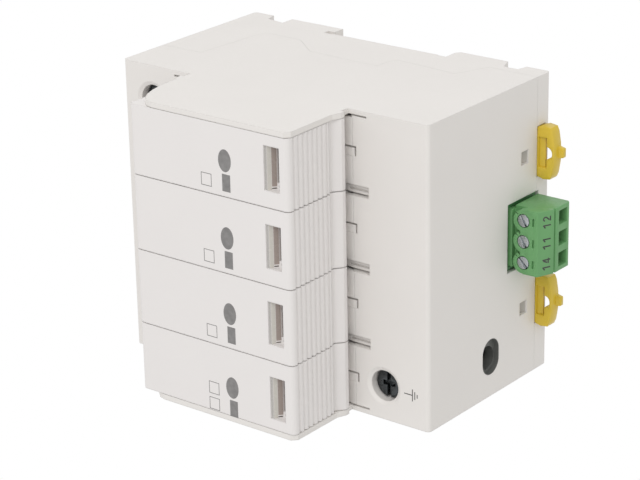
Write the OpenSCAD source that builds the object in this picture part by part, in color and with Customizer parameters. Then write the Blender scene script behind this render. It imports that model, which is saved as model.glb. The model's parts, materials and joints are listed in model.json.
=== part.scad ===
// Plug-in surge arrester for a 35 mm rail: a fixed base with four draw-out cartridges.
// X is to the right, Y goes back towards the wall and Z is up, as it hangs on the rail.
// The origin is at the middle of the rail's front face, where the base seats.

/* [Overall] */
// Width of one pole
module_w = 18; // [17.8:0.1:18.6]
// Height of the base above the rail's axis
base_up = 43.2; // [42.4:0.1:45]
// Height of the base below the rail's axis
base_down = 44; // [43.4:0.1:46]
// Distance from the rail's face to the front of the nose
nose_reach = 65; // [64:0.5:70]
// Distance from the rail's face to the shoulders
shoulder_reach = 44; // [44:0.2:46]
// Half of the nose's height
nose_half = 22.5; // [22.2:0.1:22.7]
// How far the base stands behind the rail's face
back_reach = 4.7; // [4.4:0.1:6]
// Thickness of the base's side walls beside the cartridges
side_wall = 1.3; // [1:0.1:1.4]
// Radius on the base's long edges
edge_r = 1; // [0.5:0.1:1.5]

/* [Rail] */
// Half width of the rail that the base hangs on
rail_half = 17.5; // [17.3:0.1:17.6]
// Thickness of the rail's flange
rail_t = 1; // [0.8:0.1:1.2]
// Clearance round the rail
rail_clear = 0.3; // [0.2:0.05:0.4]
// How far the fixed hooks reach over the rail's flange
hook_reach = 1.6; // [1.2:0.1:2]
// How far the seat stands proud between the hooks
seat_relief = 0.3; // [0.2:0.05:0.4]
// Height of the notches above and below the channel
notch_h = 5.8; // [5:0.1:6.2]
// Depth of the notches
notch_depth = 3.8; // [3:0.1:4]

/* [Cartridge] */
// Gap between the caps of two cartridges
cap_gap = 0.2; // [0.15:0.05:0.3]
// Gap between the cartridges' lips and the shoulders
lip_gap = 2.3; // [2:0.1:2.6]
// Half width of the cartridge's body inside the base, as a share of a pole
body_share = 0.4; // [0.39:0.002:0.404]
// Gap round the cartridge's body, above and below it
body_gap = 1.5; // [1.4:0.1:1.8]
// Depth of the cartridge's bay, as a share of the shoulders' distance from the rail
bay_share = 0.568; // [0.548:0.004:0.592]
// Wall of the cartridge's casing
casing_wall = 1.2; // [1:0.1:1.4]
// Thickness of the casing's front
front_wall = 2.6; // [2.2:0.1:3]
// Number of grip ribs at each end
rib_count = 8; // [5:1:8]
// Distance between the grip ribs, as a share of the cap's depth
rib_share = 0.088; // [0.08:0.002:0.088]
// Depth of the grooves between the ribs
rib_depth = 0.5; // [0.3:0.05:0.7]
// How far the lip stands out past the ribs
lip_out = 0.9; // [0.6:0.1:1.2]
// Width of the indicator window, as a share of a pole
window_share = 0.567; // [0.507:0.01:0.607]
// Height of the indicator window
window_h = 4.2; // [3.8:0.1:4.4]
// How far the window reaches below the casing's inner floor
window_sink = 0.2; // [0:0.1:0.3]
// Height of the slot at the bottom of the window
slot_h = 2.2; // [1.8:0.1:2.4]
// Travel of the shutter behind the window
shutter_travel = 2.8; // [2.6:0.1:3.2]

/* [Contacts] */
// Distance from the rail's axis to each blade, as a share of the nose's half height
blade_share = 0.622; // [0.602:0.004:0.642]
// Width of a blade
blade_w = 8; // [6:0.5:9]
// Thickness of a blade
blade_t = 1.2; // [1:0.1:1.5]
// Length of a blade behind the cartridge
blade_len = 9; // [8:0.1:9.4]
// Thickness of the fork's leaves
leaf_t = 0.9; // [0.7:0.1:1.1]
// Clearance between a blade and a leaf
leaf_clear = 0.1; // [0.05:0.05:0.15]
// Thickness of the bars
bar_t = 1.2; // [1:0.1:1.4]
// Width of a bar
bar_w = 7; // [6:0.5:7.4]

/* [Terminals] */
// Height of the upper terminal screws, as a share of the upper shoulder
upper_screw_share = 0.58; // [0.57:0.01:0.6]
// Depth of the earth terminal's screw, as a share of the lower shoulder
lower_screw_share = 0.42; // [0.41:0.01:0.46]
// Sideways place of the upper screws on their poles
upper_screw_x = 0.4; // [0:0.1:0.6]
// Sideways place of the earth screw on its pole
lower_screw_x = -0.9; // [-1:0.1:0]
// Radius of the hole that leads to a screw's head
driver_r = 3.7; // [3.6:0.1:3.9]
// Radius of a screw's head
head_r = 3.3; // [3:0.1:3.4]
// Height of a screw's head
head_h = 2.4; // [2:0.1:2.6]
// Radius of a screw's shank
shank_r = 2.4; // [2:0.1:2.5]
// Thread clearance round a shank
thread_clear = 0.1; // [0.05:0.05:0.15]
// Radius of the bore that a conductor goes through
wire_r = 3; // [2.8:0.1:3.1]
// Width of the oval mouth round that bore
mouth_w = 8.8; // [8.2:0.1:9]
// Height of that mouth, front to back
mouth_h = 6.6; // [6.4:0.1:6.8]
// Distance from the shoulders to the middle of the bores
wire_back = 24.3; // [24:0.1:24.4]

/* [Rail clips] */
// Sideways place of the right clip's middle
clip_x = 18.2; // [17.8:0.1:18.4]
// Width of a clip
clip_w = 11.8; // [11:0.1:12]
// Thickness of a clip
clip_t = 3.2; // [3:0.1:3.3]
// How far a clip's tab stands out below the base
clip_out = 4.4; // [4.3:0.1:5]
// Travel of a clip from locked to open
clip_travel = 5; // [4:0.1:5]
// Radius of the round side of the tab's pry hole
eye_r = 1.5; // [1.2:0.1:1.5]

/* [Signal connector] */
// Sideways place of the connector's middle
conn_x = 0.4; // [0:0.1:0.6]
// Distance between two ways of the connector
conn_pitch = 5.08; // [5:0.01:5.08]
// Width of the plug's head
plug_w = 15.6; // [15.4:0.1:15.8]
// Depth of the plug's head, front to back
plug_d = 11.2; // [11:0.1:11.4]
// Height of the plug's head below the base
plug_h = 8.9; // [8.6:0.1:9.2]
// How far the plug's nose goes into the header
plug_in = 8; // [7.6:0.1:8.4]
// Wall of the header's shroud
shroud_wall = 1; // [0.8:0.1:1]
// Thickness of a contact pin
pin_t = 1; // [0.8:0.1:1.1]
// Side of a square wire opening in the plug
plug_wire = 3.3; // [3:0.1:3.4]
// Travel of a wire clamp in the plug
clamp_travel = 1.2; // [0.8:0.1:1.3]

/* [Hidden] */
$fn = 48;
// Overrun of every cut, and depth to which joined solids run into each other
cut = 0.5;
pole_names = ["n", "l1", "l2", "l3"];
line_names = ["l1", "l2", "l3"];
way_names = ["left", "middle", "right"];
clip_names = ["left", "right"];
cartridge_parts = ["casing", "carrier", "blades", "limiter", "shutter", "fault_plate"];
terminal_names = concat(pole_names, ["earth"]);

housing_white = [0.93, 0.92, 0.90];
cartridge_white = [0.92, 0.91, 0.90];
indicator_grey = [0.80, 0.80, 0.78];
clip_yellow = [0.87, 0.71, 0.20];
plug_green = [0.30, 0.62, 0.36];
header_green = [0.18, 0.42, 0.26];
zinc_grey = [0.72, 0.73, 0.74];
copper_red = [0.80, 0.55, 0.38];
brass_yellow = [0.83, 0.70, 0.42];
ceramic_blue = [0.25, 0.38, 0.62];
signal_red = [0.80, 0.12, 0.10];
carrier_grey = [0.42, 0.43, 0.45];

// Poles and main planes
pole_count = len(pole_names);
half_w = pole_count * module_w / 2;
front_y = -nose_reach;
shoulder_y = -shoulder_reach;
bay_y = shoulder_y * (1 - bay_share);
bay_half_w = half_w - side_wall;
upper_shoulder_h = base_up - nose_half;
lower_shoulder_h = base_down - nose_half;
function pole_x(i) = (i - (pole_count - 1) / 2) * module_w;
function pole_of(name) = search([name], pole_names)[0];

// Line where the front and rear housings meet, as seen from the side
split_y_shares = [-0.68, -0.68, -0.4, -0.27, -0.19, -0.19, -0.33, -0.345, -0.345, -0.25, -0.2, -0.23];
split_up_shares = [1, 0.735, 0.706, 0.701, 0.674, 0.433, 0.257];
split_down_shares = [-0.012, -0.206, -0.206, -0.232, -0.62];
split_z = concat(split_up_shares * base_up, split_down_shares * base_down);
split_low_y = -1.5;
split_low_share = -0.7;
split_low_z = split_low_share * base_down;
split_line = concat(
    [for (i = [0:len(split_z) - 1]) [split_y_shares[i] * shoulder_reach, split_z[i]]],
    [[split_low_y, split_low_z], [split_low_y, -base_down]]
);

// Rail seat and notches
hook_back = rail_t + 2 * rail_clear;
seat_end_gap = 0.4;
seat_half = rail_half - hook_reach - seat_end_gap;
notch_from_top = 4.8;
notch_from_bottom = 6.4;
notch_top = base_up - edge_r - notch_from_top;
notch_low = -(base_down - notch_h - notch_from_bottom);
notch_ramp_share = 0.8;
notch_step_share = 0.14;
notch_low_ramp_share = 0.25;
notch_low_end_share = 0.9;

// Walls and partitions of the bay
partition_share = 0.089;
partition_t = partition_share * module_w;
partition_shift_share = -0.036;
partition_shift = partition_shift_share * module_w;
partition_sink = 1;
floor_t = 1.6;
bay_wall = 1.7;
bay_edge = 1.2;
boundary_xs = [for (i = [1:pole_count - 1]) pole_x(i) - module_w / 2 + partition_shift];

// Chambers behind the shoulders and behind the bay
shoulder_wall = 4.6;
outer_wall_share = 0.174;
outer_wall = outer_wall_share * upper_shoulder_h;
back_wall = 2.8;
chamber_share = 0.372;
chamber_half_w = chamber_share * module_w;
chamber_front = shoulder_y + shoulder_wall;
chamber_back = -back_wall;
chamber_in = nose_half + bay_wall;
upper_chamber_top = base_up - outer_wall;
lower_chamber_bottom = base_down - outer_wall;
contact_front = bay_y + floor_t;
contact_in = 6;
tunnel_half = 4.5;
tunnel_depth = 5.5;

// Shoulder details beside each cartridge
tongue_slot_w = 2.6;
tongue_slot_len = 5.4;
tongue_slot_depth = 4;
tongue_extra = 0.2;
groove_w = 0.45;
groove_depth = 1.2;
groove_len = 1.7;
tab_left = -1.7;
tab_right = 0.15;
tab_depth = 3;
tab_gap = 0.3;
edge_slot_w = 0.4;
edge_slot_len = 5;

// Snap windows in the base's lower face
left_snap_x = -18.6;
snap_xs = [clip_x, left_snap_x];
snap_w = 3.2;
snap_d = 2.8;
snap_from_edge = 5;
snap_y = split_low_y - snap_from_edge;
snap_depth = 1.6;
snap_ramp_depth = 0.4;

// Bars and forks
blade_z = blade_share * nose_half;
bus_half_h = bar_w / 2;
bar_back = chamber_back;
bar_front = bar_back - bar_t;
fork_inset = 0.5;
fork_front = contact_front + fork_inset;
fork_half = blade_t / 2 + leaf_clear;
elbow_gap = 0.4;
elbow_z = chamber_in + elbow_gap;
bus_gap = 0.4;
neutral_leg_w = 3.2;
bus_shift_share = 0.367;
bus_low_x = pole_x(0) + bus_shift_share * module_w;
bus_leg_x = bus_low_x + neutral_leg_w;

// Terminals
upper_screw_z = nose_half + upper_screw_share * upper_shoulder_h;
lower_screw_z = nose_half + lower_screw_share * lower_shoulder_h;
dish_r = 0.9;
dish_depth = 0.5;
wire_y = shoulder_y + wire_back;
mouth_depth = 1.4;
earth_wire_x = 0.2;
earth_mouth_shift = 0.6;
tongue_t = 1.6;
tongue_gap = 0.7;
tongue_y = wire_y - wire_r - tongue_gap - tongue_t;
cage_wall = 1.9;
cage_share = 0.289;
cage_half_w = cage_share * module_w;
cage_height_share = 0.186;
cage_side = 1.1;
cage_back_gap = 0.3;
cage_back = wire_y + wire_r + cage_back_gap;
cage_lead = 6.4;
cage_front = tongue_y - cage_lead;
head_sink = 2;
head_front = shoulder_y + head_sink;
tip_gap = 0.3;
slot_w = 1;
slot_depth = 1.1;
cross_share = 0.5;

// Cartridges
cap_half_w = module_w / 2 - cap_gap / 2;
cap_depth = nose_reach - shoulder_reach - lip_gap;
body_half_w = body_share * module_w;
body_half = nose_half - body_gap;
lip_back = front_y + cap_depth;
lip_t = 1.1;
lip_z = nose_half + lip_out;
lip_slope_share = 0.176;
lip_start = lip_back - lip_slope_share * cap_depth;
cheek_curve_share = 0.75;
cheek_curve_y = cheek_curve_share * cap_depth;
cheek_curve_z = 6.5;
rib_pitch = rib_share * cap_depth;
first_rib_share = 0.118;
first_rib = first_rib_share * cap_depth;
rib_zone = first_rib + (rib_count - 1) * rib_pitch;
rib_crest_share = 0.3;
finger_shares = [0.6, 1.2];
finger_depth_share = 1.4;
front_r = 1.2;
seat_gap = 0.3;
body_back = bay_y - seat_gap;
casing_in_w = body_half_w - casing_wall;
casing_in_half = body_half - casing_wall;

// Indicator window, shutter and fault plate
window_w = window_share * module_w;
window_bottom = -casing_in_half - window_sink;
window_top = window_bottom + window_h;
slot_top = window_bottom + slot_h;
slot_wall = 0.6;
slot_y = front_y + front_wall - slot_wall;
ledge_depth = 0.35;
ledge_h = 0.6;
foot_w = 1.5;
mark_w = 0.4;
mark_inset = 0.5;
mark_depth = 0.3;
shutter_t = 1;
shutter_gap = 0.2;
shutter_side_gap = 0.3;
shutter_floor_gap = 0.1;
shutter_lap = 0.6;
shutter_half_w = casing_in_w - shutter_side_gap;
shutter_low = shutter_floor_gap - casing_in_half;
shutter_front = front_y + front_wall + shutter_gap;
fault_t = 1.2;
fault_gap = 0.2;
fault_front = shutter_front + shutter_t + fault_gap;
stem_w = 3;
stem_h = 2.4;

// Carrier, blades and limiter
plate_t = 2.4;
plate_front = body_back - plate_t;
limiter_share = 0.5;
limiter_t = limiter_share * module_w;
limiter_low_share = 0.606;
limiter_low = -limiter_low_share * casing_in_half;
limiter_high_share = 0.909;
limiter_high = limiter_high_share * casing_in_half;
limiter_from_front = 9;
limiter_front = front_y + limiter_from_front;
limiter_clear = 2;
limiter_back = plate_front - limiter_clear;
tube_rim_gap = 0.5;
tube_r = (limiter_high - limiter_low) / 2 - tube_rim_gap;
tube_groove = 1.5;
tube_sides = 24;
cradle_t = 1;
riser_t = 0.8;
riser_len = 16;
riser_h = 6;
blade_inner_gap = 0.5;
blade_inner = limiter_back + blade_inner_gap;
blade_foot_t = 1.2;
stud_w = 3;
stud_gap = 0.2;

// Rail clips
clip_gap = 0.15;
clip_front = split_low_y + clip_gap;
clip_back = clip_front + clip_t;
jaw_reach = 1.5;
jaw_t = 2;
jaw_h = 1.8;
jaw_y = hook_back - rail_clear;
tab_flare = 0.5;
tab_flare_share = 0.35;
tab_corner_w = 1.1;
tab_corner_h = 0.5;
tab_bulge = 0.5;
tab_mid_share = 0.35;
nub_half_w = 1.4;
nub_tip_half_w = 1.1;
nub_h = 1.3;
nub_t = 1.1;
pry_half_w = 3.6;
pry_gap = 0.25;
pry_h = 2.4;

// Header, switch and signal bar
conn_wall_gap = 0.25;
conn_back_gap = 0.9;
conn_back = -conn_back_gap;
header_extra_w = 0.6;
header_extra_d = 0.9;
header_w = plug_w + header_extra_w;
header_d = plug_d + header_extra_d;
header_front = conn_back - header_d;
header_sink = 0.7;
header_rim = base_down - header_sink;
header_floor_t = 2;
nose_gap = 0.15;
nose_end_gap = 0.4;
head_gap = 0.3;
head_top = base_down + head_gap;
header_top = head_top - plug_in - header_floor_t - nose_end_gap;
header_floor = header_top + header_floor_t;
pin_end_gap = 1.5;
switch_w = 20;
switch_h = 6.4;
switch_depth_share = 0.616;
switch_d = switch_depth_share * (chamber_back - contact_front);
switch_back = chamber_back - bus_gap;
switch_front = switch_back - switch_d;
lever_half_w = 1.8;
lever_gap = 0.1;
lever_inset = 1;
signal_travel = 1;
lever_back = switch_front - signal_travel - lever_gap;
signal_bar_t = 2;
tunnel_gap = 0.3;

// Plug
plug_front = conn_back - header_d / 2 - plug_d / 2;
plug_back = plug_front + plug_d;
plug_low = head_top + plug_h;
nose_d = header_d - 2 * shroud_wall - 2 * nose_gap;
nose_w = header_w - 2 * shroud_wall - 2 * nose_gap;
nose_y = conn_back - header_d / 2;
plug_screw_drop = 3.3;
plug_screw_z = -head_top - plug_screw_drop;
plug_wire_inset = 1.4;
plug_wire_y = plug_back - plug_wire_inset - plug_wire / 2;
face_slope_y = 0.3;
face_edge_up = 1.7;
print_face_d = 4.4;
plug_edge = 0.6;
step_w = 0.6;
step_depth = 0.45;
lobe_depth = 2;
lobe_side = 0.1;
lobe_r = plug_w / 2 - conn_pitch - lobe_side;
plug_head_r = 1.5;
plug_head_h = 1.2;
plug_head_sink = 0.2;
plug_hole_r = 1.65;
plug_shank_r = 1.1;
plug_slot_w = 0.5;
plug_slot_depth = 0.6;
plug_slot_turns = [-48, -36, -34];
test_slot_drop = 2.6;
test_slot_w = 0.5;
test_slot_len = 1.9;
test_slot_depth = 0.8;
clamp_half_w = 1.9;
clamp_half_h = 1.7;
clamp_wall = 0.7;
clamp_side = 0.4;
clamp_inset = 3.2;
clamp_front = plug_front + clamp_inset;
clamp_back = plug_wire_y + plug_wire / 2;
clamp_side_gap = 0.15;
clamp_end_gap = 0.2;
clamp_front_gap = 0.3;
chamber_back_wall = 0.6;
plug_tip = 1;
socket_gap = 0.2;
socket_inset = 1;

// Profile in Y and Z, drawn from x0 to x1
module side_extrude(x0, x1, points) {
    translate([x0, 0, 0])
        rotate([90, 0, 90])
            linear_extrude(x1 - x0)
                polygon(points);
}

// Profile in X and Z, drawn from y0 to y1
module front_extrude(y0, y1, points) {
    translate([0, y0, 0])
        rotate([90, 0, 0])
            mirror([0, 0, 1])
                linear_extrude(y1 - y0)
                    polygon(points);
}

// Box between two corners
module block(low, high) {
    translate(low)
        cube(high - low);
}

// Arc of points round a centre, from one angle to another
function arc(centre, ry, rz, from, to, steps = 6) = [
    for (i = [0:steps]) let (a = from + (to - from) * i / steps)
        [centre[0] + ry * cos(a), centre[1] + rz * sin(a)]
];

// The same points backwards on the other side of an axis
function mirrored(points) = [for (i = [len(points) - 1:-1:0]) [points[i][0], -points[i][1]]];
function flipped(points) = [for (i = [len(points) - 1:-1:0]) [-points[i][0], points[i][1]]];

// Rear side of the base: back faces, notches and the rail's channel, from top to bottom
back_line = concat(
    arc([back_reach - edge_r, base_up - edge_r], edge_r, edge_r, 90, 0),
    [
        [back_reach, notch_top],
        [back_reach - notch_depth * notch_ramp_share, notch_top - notch_h * notch_step_share],
        [back_reach - notch_depth, notch_top - notch_h],
        [back_reach, notch_top - notch_h],
        [back_reach, rail_half - hook_reach],
        [hook_back, rail_half - hook_reach],
        [hook_back, rail_half + rail_clear],
        [-seat_relief, rail_half + rail_clear],
        [-seat_relief, seat_half],
        [0, seat_half],
        [0, -seat_half],
        [-seat_relief, -seat_half],
        [-seat_relief, -rail_half - rail_clear],
        [back_reach - edge_r, -rail_half - rail_clear],
        [back_reach, -rail_half - rail_clear - edge_r],
        [back_reach, notch_low],
        [back_reach - notch_depth, notch_low - notch_h * notch_low_ramp_share],
        [back_reach - notch_depth, notch_low - notch_h * notch_low_end_share],
        [back_reach - edge_r, notch_low - notch_h],
    ],
    arc([back_reach - 2 * edge_r, edge_r - base_down], edge_r, edge_r, 0, -90)
);

// Chambers that both housings share
module pole_chambers(x, lower) {
    low_x = x - chamber_half_w;
    high_x = x + chamber_half_w;
    block([low_x, chamber_front, chamber_in], [high_x, chamber_back, upper_chamber_top]);
    block([low_x, contact_front, contact_in], [high_x, chamber_back, chamber_in + cut]);
    block([low_x, contact_front, -nose_half], [high_x, chamber_back, -contact_in]);
    if (lower) {
        block([low_x, chamber_front, -lower_chamber_bottom], [high_x, chamber_back, -chamber_in]);
        block([low_x, contact_front, -chamber_in - cut], [high_x, chamber_back, -contact_in]);
    }
}

module shared_chambers() {
    for (i = [0:pole_count - 1])
        pole_chambers(pole_x(i), i == 0);
    bus_cavity();
    block(
        [-bay_half_w + bay_wall, contact_front, -tunnel_half],
        [bay_half_w - bay_wall, contact_front + tunnel_depth, tunnel_half]
    );
    block(
        [conn_x - lever_half_w - bus_gap, contact_front, -header_top],
        [conn_x + lever_half_w + bus_gap, contact_front + tunnel_depth, -tunnel_half + cut]
    );
    block(
        [conn_x - switch_w / 2 - bus_gap, switch_front - bus_gap, -header_top],
        [conn_x + switch_w / 2 + bus_gap, switch_back + bus_gap, -header_top + switch_h + 2 * bus_gap]
    );
    block(
        [conn_x - header_w / 2 - conn_wall_gap, header_front - conn_wall_gap, -base_down - cut],
        [conn_x + header_w / 2 + conn_wall_gap, conn_back + conn_wall_gap, -header_top + cut]
    );
}

module bus_cavity() {
    block(
        [bus_low_x - bus_gap, bar_front - bus_gap, -blade_z - bus_half_h - bus_gap],
        [pole_x(pole_count - 1) + bus_half_h, chamber_back, -blade_z + bus_half_h + bus_gap]
    );
    block(
        [bus_low_x - bus_gap, bar_front - bus_gap, -blade_z - bus_half_h - bus_gap],
        [bus_leg_x + bus_gap, chamber_back, blade_z + bus_half_h + bus_gap]
    );
}

// Wire bore with its oval mouth; up is 1 at the top of the base and -1 at the bottom
module wire_bore(x, face, up, mouth_shift = 0) {
    side = (mouth_w - mouth_h) / 2;
    bore_z = up > 0 ? face - outer_wall - cut : -face - cut;
    mouth_z = up > 0 ? face - mouth_depth : -face - cut;
    mouth_x = x + mouth_shift;
    translate([x, wire_y, bore_z])
        cylinder(h = outer_wall + 2 * cut, r = wire_r);
    for (s = [-side, side])
        translate([mouth_x + s, wire_y, mouth_z])
            cylinder(h = mouth_depth + cut, r = mouth_h / 2);
    block(
        [mouth_x - side, wire_y - mouth_h / 2, mouth_z],
        [mouth_x + side, wire_y + mouth_h / 2, mouth_z + mouth_depth + cut]
    );
}

module driver_hole(x, z) {
    translate([x, shoulder_y - cut, z])
        rotate([-90, 0, 0])
            cylinder(h = shoulder_wall + 2 * cut, r = driver_r);
    translate([x, shoulder_y + dish_depth, z])
        rotate([90, 0, 0])
            cylinder(
                h = dish_depth + cut,
                r1 = driver_r,
                r2 = driver_r + dish_r * (dish_depth + cut) / dish_depth
            );
}

// Slots and grooves in the lower shoulder's edge beside each cartridge
module shoulder_cuts() {
    for (x = boundary_xs)
        block(
            [x - tongue_slot_w / 2, shoulder_y - cut, -nose_half - tongue_slot_len],
            [x + tongue_slot_w / 2, shoulder_y + tongue_slot_depth, -nose_half + cut]
        );
    for (i = [0:pole_count - 1])
        translate([pole_x(i), 0, 0]) {
            block(
                [tab_right, shoulder_y - cut, -nose_half - groove_len],
                [tab_right + groove_w, shoulder_y + groove_depth, -nose_half + cut]
            );
            block(
                [tab_left, shoulder_y - cut, -nose_half - groove_len - groove_w],
                [tab_right + groove_w, shoulder_y + groove_depth, -nose_half - groove_len]
            );
        }
    for (s = [-1, 1])
        block(
            [s * bay_half_w - edge_slot_w / 2, shoulder_y - cut, -nose_half - edge_slot_len],
            [s * bay_half_w + edge_slot_w / 2, shoulder_y + groove_depth, -nose_half + cut]
        );
    side_extrude(-bay_half_w, bay_half_w, [
        [shoulder_y - cut, -nose_half + cut],
        [shoulder_y - cut, -nose_half - bay_edge],
        [shoulder_y, -nose_half - bay_edge],
        [shoulder_y + bay_edge, -nose_half],
        [shoulder_y + bay_edge, -nose_half + cut],
    ]);
}

module shoulder_tongues() {
    half_t = (partition_t + tongue_extra) / 2;
    for (x = boundary_xs)
        difference() {
            block(
                [x - half_t, shoulder_y + partition_sink, -nose_half - tongue_slot_len - cut],
                [x + half_t, shoulder_y + tongue_slot_depth + cut, -nose_half + cut]
            );
            block(
                [x - groove_w / 2, shoulder_y, -nose_half - tongue_slot_len - 2 * cut],
                [x + groove_w / 2, shoulder_y + partition_sink + groove_w, -nose_half + 2 * cut]
            );
        }
}

module tabs() {
    for (i = [0:pole_count - 1])
        block(
            [pole_x(i) + tab_left, shoulder_y, -nose_half - groove_len],
            [pole_x(i) + tab_right, shoulder_y + tab_depth, -body_half - tab_gap]
        );
}

module both_ends() {
    children();
    mirror([0, 0, 1])
        children();
}

// Side wall beside the outer cartridge, with its curved upper corner
module cheek(x0) {
    lower = [
        [shoulder_y + cut, -nose_half],
        [lip_back, -nose_half],
        [lip_back, -lip_z],
        [lip_back - lip_t, -lip_z],
        [lip_start, -nose_half],
        [front_y + front_r, -nose_half],
        [front_y, -nose_half + front_r],
    ];
    upper = concat(
        arc([front_y + cheek_curve_y, nose_half - cheek_curve_z], cheek_curve_y, cheek_curve_z, 180, 90),
        [
            [lip_start, nose_half],
            [lip_back - lip_t, lip_z],
            [lip_back, lip_z],
            [lip_back, nose_half],
            [shoulder_y + cut, nose_half],
        ]
    );
    side_extrude(x0, x0 + side_wall, concat(lower, upper));
}

module front_profile() {
    side_extrude(-half_w, half_w, concat(
        arc([shoulder_y + edge_r, edge_r - base_down], edge_r, edge_r, 270, 180),
        arc([shoulder_y + edge_r, base_up - edge_r], edge_r, edge_r, 180, 90),
        split_line
    ));
}

// Windows over the rear housing's snaps, with a floor that rises to the rear
module snap_windows() {
    for (x = snap_xs)
        side_extrude(x - snap_w / 2, x + snap_w / 2, [
            [snap_y - snap_d / 2, -base_down - cut],
            [snap_y - snap_d / 2, -base_down + snap_depth],
            [snap_y + snap_d / 2, -base_down + snap_ramp_depth],
            [snap_y + snap_d / 2, -base_down - cut],
        ]);
}

module front_housing() {
    color(housing_white)
        difference() {
            union() {
                difference() {
                    union() {
                        difference() {
                            front_profile();
                            block(
                                [-bay_half_w, shoulder_y - cut, -nose_half],
                                [bay_half_w, bay_y, nose_half]
                            );
                        }
                        for (x = boundary_xs)
                            block(
                                [x - partition_t / 2, shoulder_y + partition_sink, -nose_half - cut],
                                [x + partition_t / 2, bay_y + cut, nose_half + cut]
                            );
                    }
                    both_ends()
                        shoulder_cuts();
                }
                both_ends()
                    shoulder_tongues();
                both_ends()
                    tabs();
                cheek(-half_w);
                cheek(bay_half_w);
            }
            shared_chambers();
            for (i = [0:pole_count - 1]) {
                driver_hole(pole_x(i) + upper_screw_x, upper_screw_z);
                for (z = [-blade_z, blade_z])
                    block(
                        [pole_x(i) - blade_w / 2 - cut, bay_y - cut, z - blade_t / 2 - cut],
                        [pole_x(i) + blade_w / 2 + cut, contact_front + cut, z + blade_t / 2 + cut]
                    );
                block(
                    [pole_x(i) - stud_w / 2 - bus_gap, bay_y - cut, -stud_w / 2 - bus_gap],
                    [pole_x(i) + stud_w / 2 + bus_gap, contact_front + cut, stud_w / 2 + bus_gap]
                );
            }
            driver_hole(pole_x(0) + lower_screw_x, -lower_screw_z);
            wire_bore(pole_x(0) + earth_wire_x, base_down, -1, earth_mouth_shift);
            snap_windows();
        }
}

module clip_channel(x) {
    block(
        [x - clip_w / 2 - clip_gap, clip_front - clip_gap - cut, -base_down - cut],
        [x + clip_w / 2 + clip_gap, clip_back + clip_gap, -rail_half]
    );
    block(
        [x - clip_w / 2 - clip_gap, clip_front, -rail_half - clip_travel - jaw_h - clip_gap],
        [x + clip_w / 2 + clip_gap, jaw_y + jaw_t + clip_gap, -rail_half]
    );
}

module rear_housing() {
    color(housing_white)
        difference() {
            side_extrude(-half_w, half_w, concat(
                back_line,
                [for (i = [len(split_line) - 1:-1:0]) split_line[i]]
            ));
            shared_chambers();
            for (i = [0:pole_count - 1])
                wire_bore(pole_x(i) + upper_screw_x, base_up, 1);
            clip_channel(clip_x);
            clip_channel(-clip_x);
        }
}

// Two leaves that hold a blade
module fork(x, z) {
    for (s = [-1, 1])
        block(
            [x - blade_w / 2, fork_front, z + s * (fork_half + leaf_t / 2) - leaf_t / 2],
            [x + blade_w / 2, bar_front + cut, z + s * (fork_half + leaf_t / 2) + leaf_t / 2]
        );
}

// Bar from a fork up to its terminal, with a tongue inside the clamp cage
module terminal_bar(x, tongue_x, tongue_end) {
    block([x - bar_w / 2, bar_front, blade_z - bus_half_h], [x + bar_w / 2, bar_back, elbow_z + bar_t]);
    block([x - bar_w / 2, tongue_y, elbow_z], [x + bar_w / 2, bar_back, elbow_z + bar_t]);
    block(
        [tongue_x - bar_w / 2, tongue_y, elbow_z],
        [tongue_x + bar_w / 2, tongue_y + tongue_t, tongue_end]
    );
    fork(x, blade_z);
}

module line_contact(i) {
    color(copper_red)
        terminal_bar(pole_x(i), pole_x(i) + upper_screw_x, upper_screw_z + cage_half_h(upper_shoulder_h));
}

module neutral_bus() {
    last_x = pole_x(pole_count - 1) + bus_half_h - bus_gap;
    line_contact(0);
    color(copper_red) {
        block([pole_x(0), bar_front, blade_z - bus_half_h], [bus_leg_x, bar_back, blade_z + bus_half_h]);
        block([bus_low_x, bar_front, -blade_z - bus_half_h], [bus_leg_x, bar_back, blade_z + bus_half_h]);
        block([bus_low_x, bar_front, -blade_z - bus_half_h], [last_x, bar_back, -blade_z + bus_half_h]);
        for (i = [1:pole_count - 1])
            fork(pole_x(i), -blade_z);
    }
}

module earth_bar() {
    color(copper_red)
        mirror([0, 0, 1])
            terminal_bar(pole_x(0), earth_x, lower_screw_z + cage_half_h(lower_shoulder_h));
}

// Screw along Y with a slotted and crossed head; z is its height on the shoulder
module terminal_screw(x, z) {
    color(zinc_grey)
        difference() {
            translate([x, head_front, z])
                rotate([-90, 0, 0]) {
                    cylinder(h = head_h, r = head_r);
                    cylinder(h = tongue_y - tip_gap - head_front, r = shank_r);
                }
            block(
                [x - head_r - cut, head_front - cut, z - slot_w / 2],
                [x + head_r + cut, head_front + slot_depth, z + slot_w / 2]
            );
            block(
                [x - slot_w / 2, head_front - cut, z - head_r * cross_share],
                [x + slot_w / 2, head_front + slot_depth, z + head_r * cross_share]
            );
        }
}

// Clamp cage: a ring round the tongue and the conductor, tapped for the screw
function cage_half_h(shoulder_h) = cage_height_share * shoulder_h;

module terminal_cage(x, z, half_h) {
    color(zinc_grey)
        difference() {
            block(
                [x - cage_half_w, cage_front - cage_wall, z - half_h],
                [x + cage_half_w, cage_back + cage_wall, z + half_h]
            );
            block(
                [x - cage_half_w + cage_side, cage_front, z - half_h - cut],
                [x + cage_half_w - cage_side, cage_back, z + half_h + cut]
            );
            translate([x, cage_front - cage_wall - cut, z])
                rotate([-90, 0, 0])
                    cylinder(h = cage_wall + 2 * cut, r = shank_r + thread_clear);
        }
}

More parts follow.
